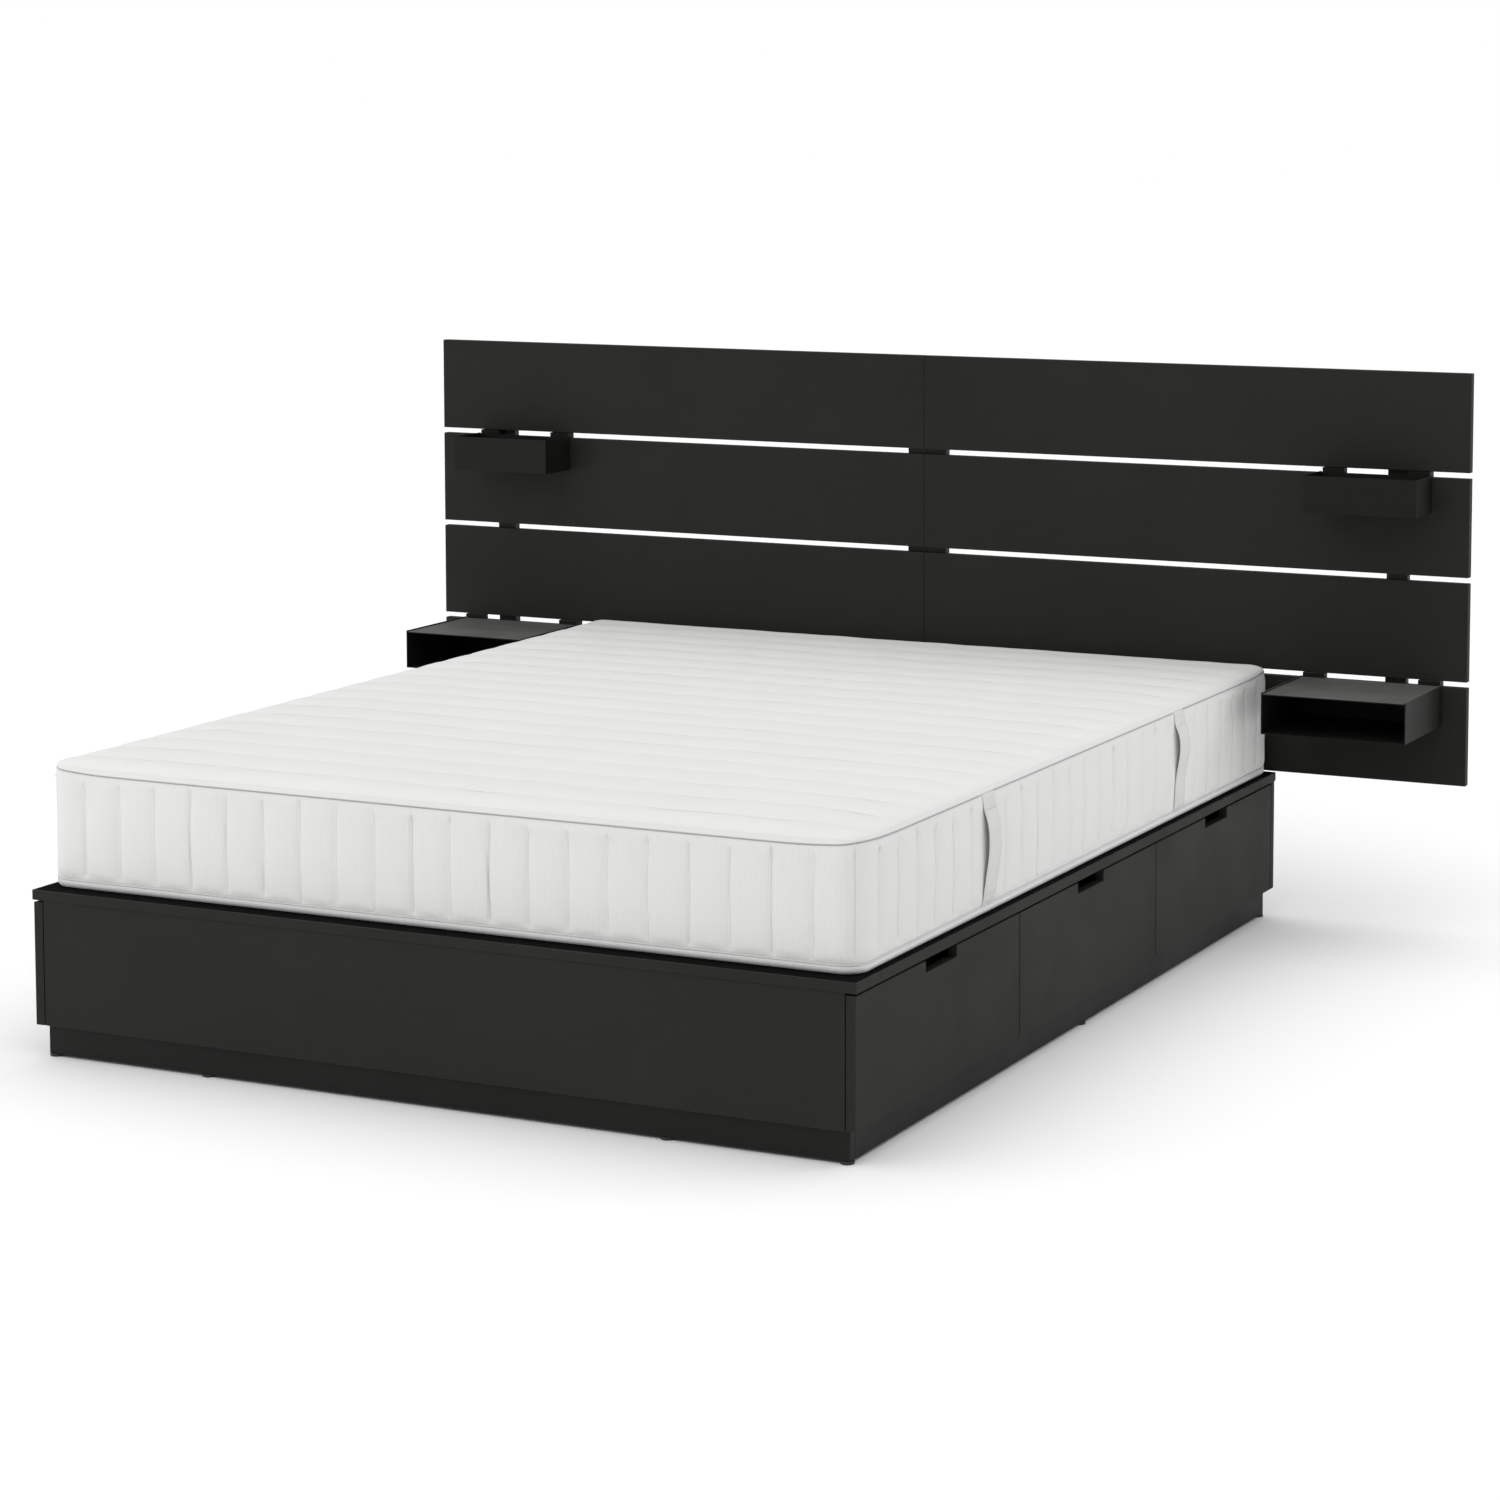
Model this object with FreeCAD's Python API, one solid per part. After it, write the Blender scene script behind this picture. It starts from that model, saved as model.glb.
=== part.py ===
import FreeCAD, Part
import os

# Platform bed with six drawers, a slatted headboard, two hook-on shelves, two hook-on boxes and a mattress.
# Millimetres. +X is to the right as seen from the foot, +Y runs from foot to head, +Z is up.
# Inside this file y = 0 is the outer face of the foot panel; save() moves everything so that the
# origin lies under the middle of the whole object, on the floor.

# ---- driving sizes of the base ----
base_width = 1600.0           # over the outer faces of the drawer fronts
base_length = 2020.0          # outer face of the foot panel to outer face of the head panel
board = 18.0                  # thickness of every plain board
glide_height = 5.0
glide_radius = 12.0
plinth_height = 53.0
plinth_under_front = 1.0      # how far the plinth's sides reach under the drawer fronts
plinth_inset_end = 14.5
plinth_middle_width = 60.0
glide_from_middle = 450.0     # glides under the foot and head boards, either side of the middle
front_height = 220.0
front_gap = 3.0               # between neighbouring drawer fronts
rim_gap = 4.0                 # between the drawer fronts and the rim boards above them
corner_reveal = 2.0           # between the end of the foot panel and the back of a drawer front
rim_width = 90.0
rim_overhang = 2.0
arris = 0.8                   # bevel that takes the sharpness off every visible board edge

# ---- driving sizes of the drawers ----
drawers_per_side = 3
divider = 36.0                # thickness of the hollow-core dividers between drawer bays
divider_clearance = 3.0       # from a divider's front edge to the back of a drawer front
notch_width = 126.0
notch_depth = 20.0
wall = 12.0                   # drawer side and back thickness
wall_lift = 14.0              # lower edge of the drawer walls above the plinth
wall_headroom = 20.0          # between the drawer walls and the side beams above them
drawer_bottom = 4.0
bottom_lift = 8.0             # from the lower edge of the walls to the underside of the bottom
groove_depth = 6.0            # groove in the walls that holds the bottom
drawer_back_space = 73.0      # from the centre spine to the back of a drawer

# ---- driving sizes of the drawer slides ----
slide_space = 13.0            # between a drawer wall and the bay wall beside it
slide_sheet = 1.5
channel_height = 35.0
channel_depth = 10.5
bar_depth = 10.0              # folded bar on the drawer wall, which runs inside the channel
bar_clearance = 2.0           # above and below the bar inside its channel
slide_setback = 8.0           # slide's front end, behind the back of the drawer front
slide_height = 40.0           # slide's centre line above the lower edge of the drawer walls

# ---- driving sizes of the mattress support ----
beam_width = 60.0
beam_height = 40.0
beam_inset = 50.0             # from the outer face of the drawer fronts to the beam
slat_width = 68.0
slat_count = 16
slat_end_clearance = 2.0

# ---- driving sizes of the mattress ----
mattress_side_inset = 5.0
mattress_foot_inset = 27.0
mattress_head_inset = 4.0
mattress_thickness = 225.0
mattress_corner = 45.0
mattress_edge = 12.0
soft_clearance = 0.5

# ---- driving sizes of the headboard ----
headboard_offset = 12.0       # from the back of the base to the front of the headboard panels
row_height = 200.0
row_gap = 12.0
row_count = 4
middle_joint = 1.0            # gap between the left and right panel of a row
rail_width = 44.0
rail_end_inset = 10.0         # rails stop this far short of the headboard's top and bottom edges
outer_rail_inset = 154.0      # from the headboard's end to the centre of the outer rail
leg_bottom = 80.0             # lower end of the two inner rails above the floor
spacer_width = 36.0
spacer_height = 60.0
spacer_edge = 20.0            # from a spacer to the upper or lower edge of the head panel

# ---- driving sizes of the pieces that hang on the headboard ----
sheet = 2.0                   # steel sheet
shelf_width = 298.0
shelf_depth = 250.0
shelf_height = 83.0
shelf_from_base = 51.0        # between the side of the base and the shelf beside it
shelf_from_end = 51.0         # between the shelf and the end of the headboard
shelf_row = 1                 # the panel row that a shelf hangs on
box_width = 234.0
box_depth = 110.0
box_height = 75.0
box_row = 3
box_from_end_right = 78.0
box_from_end_left = 96.0
wall_rise = 4.0               # side walls stand this far above the edge of the panel
top_drop = 2.5                # a shelf's top lies this far below the edges of its side walls
back_clearance = 0.5          # between a back plate and the panel it hangs on
hook_width = 46.0
hook_inset = 4.0              # from the side of a shelf or box to its hooks
hook_clearance = 0.2          # between a hook and the panel
hook_top_clearance = 1.0      # between a hook and the panel above
hook_leg_width = 25.0
hook_leg_thickness = 5.0
hook_leg_drop = 40.0

# ---- driving sizes of the fasteners ----
screw_radius = 2.0
screw_head_radius = 4.2
screw_head_height = 2.4
screw_length = 30.0
screw_row_inset = 50.0        # from a panel's upper and lower edges to its screws
screw_clearance = 0.2
bolt_radius = 4.0
bolt_head_radius = 6.5
bolt_head_height = 5.0
bolt_bite = 14.0              # how far a bolt reaches into the head panel
bolt_clearance = 0.3

# ---- cutting ----
overcut = 1.0                 # how far a cutting shape runs past the face that it cuts through

# ---- heights that follow ----
plinth_top = glide_height + plinth_height
front_top = plinth_top + front_height
rim_bottom = front_top + rim_gap
rim_top = rim_bottom + board
beam_bottom = rim_bottom - beam_height
wall_bottom = plinth_top + wall_lift
wall_height = beam_bottom - wall_headroom - wall_bottom
wall_top = wall_bottom + wall_height
slide_z = wall_bottom + slide_height
headboard_bottom = rim_top
headboard_top = headboard_bottom + row_count * row_height + (row_count - 1) * row_gap

# ---- widths that follow ----
half_base = base_width / 2
front_back = half_base - board                  # back of the drawer fronts
half_headboard = half_base + shelf_from_base + shelf_width + shelf_from_end
divider_front = front_back - divider_clearance
beam_outer = half_base - beam_inset
beam_inner = beam_outer - beam_width
rim_inner = half_base + rim_overhang - rim_width
plinth_inset_side = board - plinth_under_front
plinth_outer = half_base - plinth_inset_side
drawer_back = board / 2 + drawer_back_space
outer_rail_x = half_headboard - outer_rail_inset
inner_rail_x = middle_joint / 2 + rail_width / 2

# ---- lengths that follow ----
head_inner = base_length - board                # inner face of the head panel
pitch = head_inner / drawers_per_side
liner = divider / 2                             # thickness of the liners beside the head panel
panel_front = base_length + headboard_offset
panel_back = panel_front + board
rail_back = panel_back + board
object_front = -rim_overhang
object_middle = (object_front + rail_back) / 2
spacer_depth = panel_back - base_length
plinth_front = plinth_inset_end
plinth_rear = base_length - plinth_inset_end

SIDES = {"left": -1, "right": 1}


def row_bottom(row):
    """Lower edge of a headboard row, counted from 1 at the bottom."""
    return headboard_bottom + (row - 1) * (row_height + row_gap)


def block(x0, x1, y0, y1, z0, z1):
    """A rectangular solid between two corners, given in any order."""
    low = FreeCAD.Vector(min(x0, x1), min(y0, y1), min(z0, z1))
    return Part.makeBox(abs(x1 - x0), abs(y1 - y0), abs(z1 - z0), low)


def eased(shape):
    """The board with a small bevel on every edge."""
    return shape.makeChamfer(arris, shape.Edges)


def board_block(x0, x1, y0, y1, z0, z1):
    """A rectangular board with eased edges."""
    return eased(block(x0, x1, y0, y1, z0, z1))


def save(name, shapes):
    """Write one node: a single solid, or a group of separate solids."""
    solids = shapes if isinstance(shapes, list) else [shapes]
    shape = solids[0] if len(solids) == 1 else Part.makeCompound(solids)
    shape.translate(FreeCAD.Vector(0, -object_middle, 0))
    shape.exportStep(os.path.join("parts", name + ".step"))
    print(f"{name:28s} {len(solids):3d} solid(s) {sum(s.Volume for s in solids) / 1e6:9.3f} dm3")


# ---------------------------------------------------------------- base

def end_panels():
    """Foot panel between the drawer fronts, and head panel across their ends."""
    foot_half = front_back - corner_reveal
    foot = board_block(-foot_half, foot_half, 0, board, plinth_top, rim_bottom)
    save("foot_panel", foot)
    head = board_block(-half_base, half_base, head_inner, base_length, plinth_top, rim_bottom)
    for side in SIDES.values():
        for z in spacer_heights():
            hole_end = FreeCAD.Vector(side * inner_rail_x, base_length - bolt_bite, z)
            outward = FreeCAD.Vector(0, 1, 0)
            hole = Part.makeCylinder(bolt_radius + bolt_clearance, bolt_bite + overcut, hole_end, outward)
            head = head.cut(hole)
    save("head_panel", head)


def plinth():
    """Recessed plinth frame with a wide bearer down the middle."""
    foot_inner = plinth_front + board
    head_inside = plinth_rear - board
    low = glide_height
    save("plinth_foot", board_block(-plinth_outer, plinth_outer, plinth_front, foot_inner, low, plinth_top))
    save("plinth_head", board_block(-plinth_outer, plinth_outer, head_inside, plinth_rear, low, plinth_top))
    for name, side in SIDES.items():
        outer = side * plinth_outer
        inner = side * (plinth_outer - board)
        save(f"plinth_{name}", board_block(outer, inner, foot_inner, head_inside, low, plinth_top))
    half = plinth_middle_width / 2
    save("plinth_middle", block(-half, half, foot_inner, head_inside, low, plinth_top))


def glides():
    """Round plastic glides under the plinth."""
    side_x = plinth_outer - board / 2
    foot_y = plinth_front + board / 2
    head_y = plinth_rear - board / 2
    middle_y = base_length / 2
    spots = [(x, y) for x in (-side_x, side_x) for y in (foot_y, middle_y, head_y)]
    spots += [(x, y) for x in (-glide_from_middle, glide_from_middle) for y in (foot_y, head_y)]
    spots += [(0, middle_y - pitch / 2), (0, middle_y + pitch / 2)]
    solids = [Part.makeCylinder(glide_radius, glide_height, FreeCAD.Vector(x, y, 0)) for x, y in spots]
    save("glides", solids)


def spine_and_dividers():
    """Centre spine, the dividers between the drawer bays, and the liners beside the head panel."""
    spine_half = board / 2
    save("centre_spine", block(-spine_half, spine_half, board, head_inner, plinth_top, rim_bottom))
    for name, side in SIDES.items():
        for place in range(1, drawers_per_side):
            y = place * pitch
            solid = block(side * spine_half, side * divider_front, y - divider / 2, y + divider / 2,
                          plinth_top, beam_bottom)
            save(f"divider_{name}_{place}", solid)
    liner_y = head_inner - liner
    liners = [block(side * spine_half, side * divider_front, liner_y, head_inner, plinth_top, beam_bottom)
              for side in SIDES.values()]
    save("head_liners", liners)


def mattress_support():
    """Side beams, the rim boards around the top, and the slats that lie between them."""
    for name, side in SIDES.items():
        save(f"side_beam_{name}", block(side * beam_inner, side * beam_outer, board, head_inner,
                                        beam_bottom, rim_bottom))
    outer = half_base + rim_overhang
    foot_edge = object_front + rim_width
    head_edge = base_length + rim_overhang - rim_width
    save("rim_foot", board_block(-outer, outer, object_front, foot_edge, rim_bottom, rim_top))
    save("rim_head", board_block(-outer, outer, head_edge, base_length + rim_overhang, rim_bottom, rim_top))
    for name, side in SIDES.items():
        rim = board_block(side * outer, side * rim_inner, foot_edge, head_edge, rim_bottom, rim_top)
        save(f"rim_{name}", rim)
    slat_half = rim_inner - slat_end_clearance
    spacing = (head_edge - foot_edge) / slat_count
    slats = []
    for number in range(slat_count):
        y = foot_edge + (number + 0.5) * spacing
        near = y - slat_width / 2
        slats.append(board_block(-slat_half, slat_half, near, near + slat_width, rim_bottom, rim_top))
    save("slats", slats)


# ---------------------------------------------------------------- drawers

def bay_walls(number):
    """The two faces that drawer bay number 1, 2, 3 lies between, counted from the foot."""
    near = board if number == 1 else (number - 1) * pitch + divider / 2
    far = head_inner - liner if number == drawers_per_side else number * pitch - divider / 2
    return near, far


def channel(side, face_y, facing):
    """One fixed channel on a bay wall at face_y, open towards the drawer in direction facing."""
    front = front_back - slide_setback
    back = drawer_back + slide_setback
    half = channel_height / 2
    outer = block(side * back, side * front, face_y, face_y + facing * channel_depth,
                  slide_z - half, slide_z + half)
    hollow = block(side * (back - overcut), side * (front + overcut),
                   face_y + facing * slide_sheet, face_y + facing * (channel_depth + overcut),
                   slide_z - half + slide_sheet, slide_z + half - slide_sheet)
    return outer.cut(hollow)


def drawer_channels():
    """The two fixed channels of every drawer bay, in one node."""
    channels = []
    for side in SIDES.values():
        for number in range(1, drawers_per_side + 1):
            near, far = bay_walls(number)
            channels.append(channel(side, near, 1))
            channels.append(channel(side, far, -1))
    save("drawer_channels", channels)


def drawer_front(side, number):
    """Front board with the finger notch cut into its upper edge."""
    start = (number - 1) * pitch
    end = number * pitch - front_gap
    middle = (start + end) / 2
    front = block(side * front_back, side * half_base, start, end, plinth_top, front_top)
    notch = block(side * (front_back - overcut), side * (half_base + overcut),
                  middle - notch_width / 2, middle + notch_width / 2,
                  front_top - notch_depth, front_top + overcut)
    return eased(front.cut(notch))


def drawer_walls(side, number):
    """Two side walls, the back wall and the bottom, which sits in grooves."""
    near, far = [face + way * slide_space for face, way in zip(bay_walls(number), (1, -1))]
    bottom_z = wall_bottom + bottom_lift
    bottom = block(side * (drawer_back + wall - groove_depth), side * front_back,
                   near + wall - groove_depth, far - wall + groove_depth,
                   bottom_z, bottom_z + drawer_bottom)
    near_wall = block(side * drawer_back, side * front_back, near, near + wall, wall_bottom, wall_top)
    far_wall = block(side * drawer_back, side * front_back, far - wall, far, wall_bottom, wall_top)
    back = block(side * drawer_back, side * (drawer_back + wall), near + wall, far - wall,
                 wall_bottom, wall_top)
    return [near_wall.cut(bottom), far_wall.cut(bottom), back.cut(bottom), bottom]


def drawer_bars(side, number):
    """The two folded bars on the drawer's walls that run in the fixed channels."""
    half = channel_height / 2 - slide_sheet - bar_clearance
    back = drawer_back + slide_setback + bar_clearance
    front = front_back - slide_setback - bar_clearance
    bars = []
    for bay_wall, way in zip(bay_walls(number), (-1, 1)):
        face = bay_wall - way * slide_space
        outer = block(side * back, side * front, face, face + way * bar_depth, slide_z - half, slide_z + half)
        hollow = block(side * (back - overcut), side * (front + overcut),
                       face + way * slide_sheet, face + way * (bar_depth + overcut),
                       slide_z - half + slide_sheet, slide_z + half - slide_sheet)
        bars.append(outer.cut(hollow))
    return bars


def drawers():
    """Three drawers on each side."""
    for name, side in SIDES.items():
        for number in range(1, drawers_per_side + 1):
            save(f"drawer_{name}_{number}_front", drawer_front(side, number))
            save(f"drawer_{name}_{number}_box", drawer_walls(side, number))
            save(f"drawer_{name}_{number}_slides", drawer_bars(side, number))


# ---------------------------------------------------------------- headboard

def spacer_heights():
    """Centre heights of the spacers between the head panel and the inner rails."""
    return (plinth_top + spacer_edge + spacer_height / 2, rim_bottom - spacer_edge - spacer_height / 2)


def rail_places():
    """Name, centre and lower end of the four upright rails."""
    places = []
    for name, side in SIDES.items():
        places.append((f"{name}_outer", side * outer_rail_x, headboard_bottom + rail_end_inset))
        places.append((f"{name}_inner", side * inner_rail_x, leg_bottom))
    return places


def screw_spots():
    """Centre of every screw that holds a panel to a rail."""
    heights = []
    for row in range(1, row_count + 1):
        heights.append(row_bottom(row) + screw_row_inset)
        heights.append(row_bottom(row) + row_height - screw_row_inset)
    return [(x, z) for _, x, _ in rail_places() for z in heights]


def fastener(x, z, radius, length, head_radius, head_height, taper):
    """A shank with its head flush with the back of the rail, pointing towards the foot."""
    start = FreeCAD.Vector(x, rail_back, z)
    inward = FreeCAD.Vector(0, -1, 0)
    if taper:
        head = Part.makeCone(head_radius, radius, head_height, start, inward)
    else:
        head = Part.makeCylinder(head_radius, head_height, start, inward)
    return head.fuse(Part.makeCylinder(radius, length, start, inward)).removeSplitter()


def screw(x, z, extra=0.0):
    """Countersunk panel screw; extra grows it into the hole that it goes in."""
    return fastener(x, z, screw_radius + extra, screw_length + extra, screw_head_radius + extra,
                    screw_head_height + extra, True)


def bolt(x, z, extra=0.0):
    """Bolt that ties an inner rail to the head panel; extra grows it into its hole."""
    length = rail_back - base_length + bolt_bite - bolt_clearance
    return fastener(x, z, bolt_radius + extra, length + extra, bolt_head_radius + extra,
                    bolt_head_height + extra, False)


def headboard():
    """Eight panels on four upright rails, with their screws, spacers and bolts."""
    screws = [screw(x, z) for x, z in screw_spots()]
    screw_holes = [screw(x, z, screw_clearance) for x, z in screw_spots()]
    bolt_spots = [(side * inner_rail_x, z) for side in SIDES.values() for z in spacer_heights()]
    bolt_holes = [bolt(x, z, bolt_clearance) for x, z in bolt_spots]
    for name, side in SIDES.items():
        for row in range(1, row_count + 1):
            z = row_bottom(row)
            panel = board_block(side * middle_joint / 2, side * half_headboard, panel_front, panel_back,
                                z, z + row_height)
            holes = [hole for hole, (x, height) in zip(screw_holes, screw_spots())
                     if x * side > 0 and z < height < z + row_height]
            save(f"headboard_panel_{name}_{row}", panel.cut(holes))
    for name, x, bottom in rail_places():
        rail = block(x - rail_width / 2, x + rail_width / 2, panel_back, rail_back, bottom,
                     headboard_top - rail_end_inset)
        holes = [hole for hole, (spot, _) in zip(screw_holes, screw_spots()) if spot == x]
        holes += [hole for hole, (spot, _) in zip(bolt_holes, bolt_spots) if spot == x]
        save(f"headboard_rail_{name}", rail.cut(holes))
    spacers = []
    for hole, (x, z) in zip(bolt_holes, bolt_spots):
        spacer = block(x - spacer_width / 2, x + spacer_width / 2, base_length, base_length + spacer_depth,
                       z - spacer_height / 2, z + spacer_height / 2)
        spacers.append(spacer.cut(hole))
    save("headboard_spacers", spacers)
    save("headboard_screws", screws)
    save("headboard_bolts", [bolt(x, z) for x, z in bolt_spots])


# ---------------------------------------------------------------- pieces that hang on the headboard

def hooks(centre, width, row, back_top):
    """Two hooks on a panel's upper edge, each with a tab in front, a saddle, a bridge and a leg behind."""
    edge = row_bottom(row) + row_height
    low = edge + hook_clearance
    high = edge + row_gap - hook_top_clearance
    tab_front = panel_front - back_clearance - sheet
    saddle_back = panel_back - hook_clearance
    leg_front = panel_back + hook_clearance
    leg_back = leg_front + hook_leg_thickness
    solids = []
    for way in (-1, 1):
        outer = centre + way * (width / 2 - hook_inset)
        inner = outer - way * hook_width
        leg_inner = outer - way * hook_leg_width
        solids.append(block(outer, inner, tab_front, panel_front, back_top, high))
        solids.append(block(outer, inner, panel_front, saddle_back, low, high))
        solids.append(block(outer, leg_inner, saddle_back, leg_back, low, high))
        solids.append(block(outer, leg_inner, leg_front, leg_back, edge - hook_leg_drop, low))
    return solids


def shelf(centre):
    """Bedside shelf: a flat steel box that is open towards the foot, with its hooks."""
    edge = row_bottom(shelf_row) + row_height
    top = edge + wall_rise
    bottom = top - shelf_height
    back = panel_front - back_clearance
    front = back - shelf_depth
    half = shelf_width / 2
    top_face = top - top_drop
    solids = [block(centre + way * half, centre + way * (half - sheet), front, back, bottom, top)
              for way in (-1, 1)]
    left = centre - half + sheet
    right = centre + half - sheet
    solids.append(block(left, right, front, back, bottom, bottom + sheet))
    solids.append(block(left, right, front, back - sheet, top_face - sheet, top_face))
    solids.append(block(left, right, back - sheet, back, bottom + sheet, top_face))
    return solids + hooks(centre, shelf_width, shelf_row, top_face)


def hanging_box(centre):
    """Small steel box, open at the top, with its hooks."""
    edge = row_bottom(box_row) + row_height
    top = edge + wall_rise
    bottom = top - box_height
    back = panel_front - back_clearance
    front = back - box_depth
    half = box_width / 2
    left = centre - half + sheet
    right = centre + half - sheet
    back_top = top - top_drop
    solids = [block(centre + way * half, centre + way * (half - sheet), front, back, bottom, top)
              for way in (-1, 1)]
    solids.append(block(left, right, front, back, bottom, bottom + sheet))
    solids.append(block(left, right, front, front + sheet, bottom + sheet, top))
    solids.append(block(left, right, back - sheet, back, bottom + sheet, back_top))
    return solids + hooks(centre, box_width, box_row, back_top)


def hanging_pieces():
    """Both shelves and both boxes."""
    for name, side in SIDES.items():
        save(f"bedside_shelf_{name}", shelf(side * (half_base + shelf_from_base + shelf_width / 2)))
    box_right = half_headboard - box_from_end_right - box_width / 2
    box_left = half_headboard - box_from_end_left - box_width / 2
    save("upper_box_right", hanging_box(box_right))
    save("upper_box_left", hanging_box(-box_left))


# ---------------------------------------------------------------- mattress

def mattress():
    """Plain closed solid of the mattress, with rounded corners and softened edges."""
    half = half_base - mattress_side_inset
    start = mattress_foot_inset
    end = base_length - mattress_head_inset
    low = rim_top + soft_clearance
    solid = block(-half, half, start, end, low, low + mattress_thickness)
    upright = [edge for edge in solid.Edges if abs(edge.tangentAt(edge.FirstParameter).z) > 0.99]
    solid = solid.makeFillet(mattress_corner, upright)
    rims = [edge for edge in solid.Edges if edge.BoundBox.ZLength < 0.01]
    save("mattress", solid.makeFillet(mattress_edge, rims))


def main():
    """Build and write every node."""
    os.makedirs("parts", exist_ok=True)
    end_panels()
    plinth()
    glides()
    spine_and_dividers()
    mattress_support()
    drawer_channels()
    drawers()
    headboard()
    hanging_pieces()
    mattress()


main()
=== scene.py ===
import logging
import math
from dataclasses import dataclass, field
from enum import Enum
from typing import Any, Optional, Protocol, Sequence

import bmesh
import bpy
import numpy as np
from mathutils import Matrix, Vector
from mathutils.bvhtree import BVHTree


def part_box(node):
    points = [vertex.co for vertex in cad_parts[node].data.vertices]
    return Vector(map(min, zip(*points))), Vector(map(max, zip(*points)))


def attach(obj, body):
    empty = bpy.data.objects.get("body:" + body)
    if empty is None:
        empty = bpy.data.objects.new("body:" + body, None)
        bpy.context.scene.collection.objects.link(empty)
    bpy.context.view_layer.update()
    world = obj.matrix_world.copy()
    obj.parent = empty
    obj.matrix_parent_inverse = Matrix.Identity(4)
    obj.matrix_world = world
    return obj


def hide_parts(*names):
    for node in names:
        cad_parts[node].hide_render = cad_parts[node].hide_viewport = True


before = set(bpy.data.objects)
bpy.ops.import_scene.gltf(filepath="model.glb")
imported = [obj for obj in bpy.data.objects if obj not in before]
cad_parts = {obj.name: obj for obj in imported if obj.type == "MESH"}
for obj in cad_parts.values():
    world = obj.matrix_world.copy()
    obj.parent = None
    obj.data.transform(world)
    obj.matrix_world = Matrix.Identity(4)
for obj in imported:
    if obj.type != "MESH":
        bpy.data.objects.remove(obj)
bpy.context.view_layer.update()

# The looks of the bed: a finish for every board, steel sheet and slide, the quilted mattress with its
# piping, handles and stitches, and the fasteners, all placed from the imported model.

log = logging.getLogger("platform_bed")
MM = 0.001
Node = bpy.types.Node
Socket = bpy.types.NodeSocket
Material = bpy.types.Material
Piece = bpy.types.Object
Box = tuple[Vector, Vector]


class Axis(Enum):
    """Direction in which a grain or a brushed streak runs."""

    X = 0
    Y = 1
    Z = 2


class Way(Enum):
    """How a row of parts is laid out from points."""

    PLACED = "one part on every point"
    SEWN = "parts at a pitch along every line"


# ---------------------------------------------------------------- materials

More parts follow.
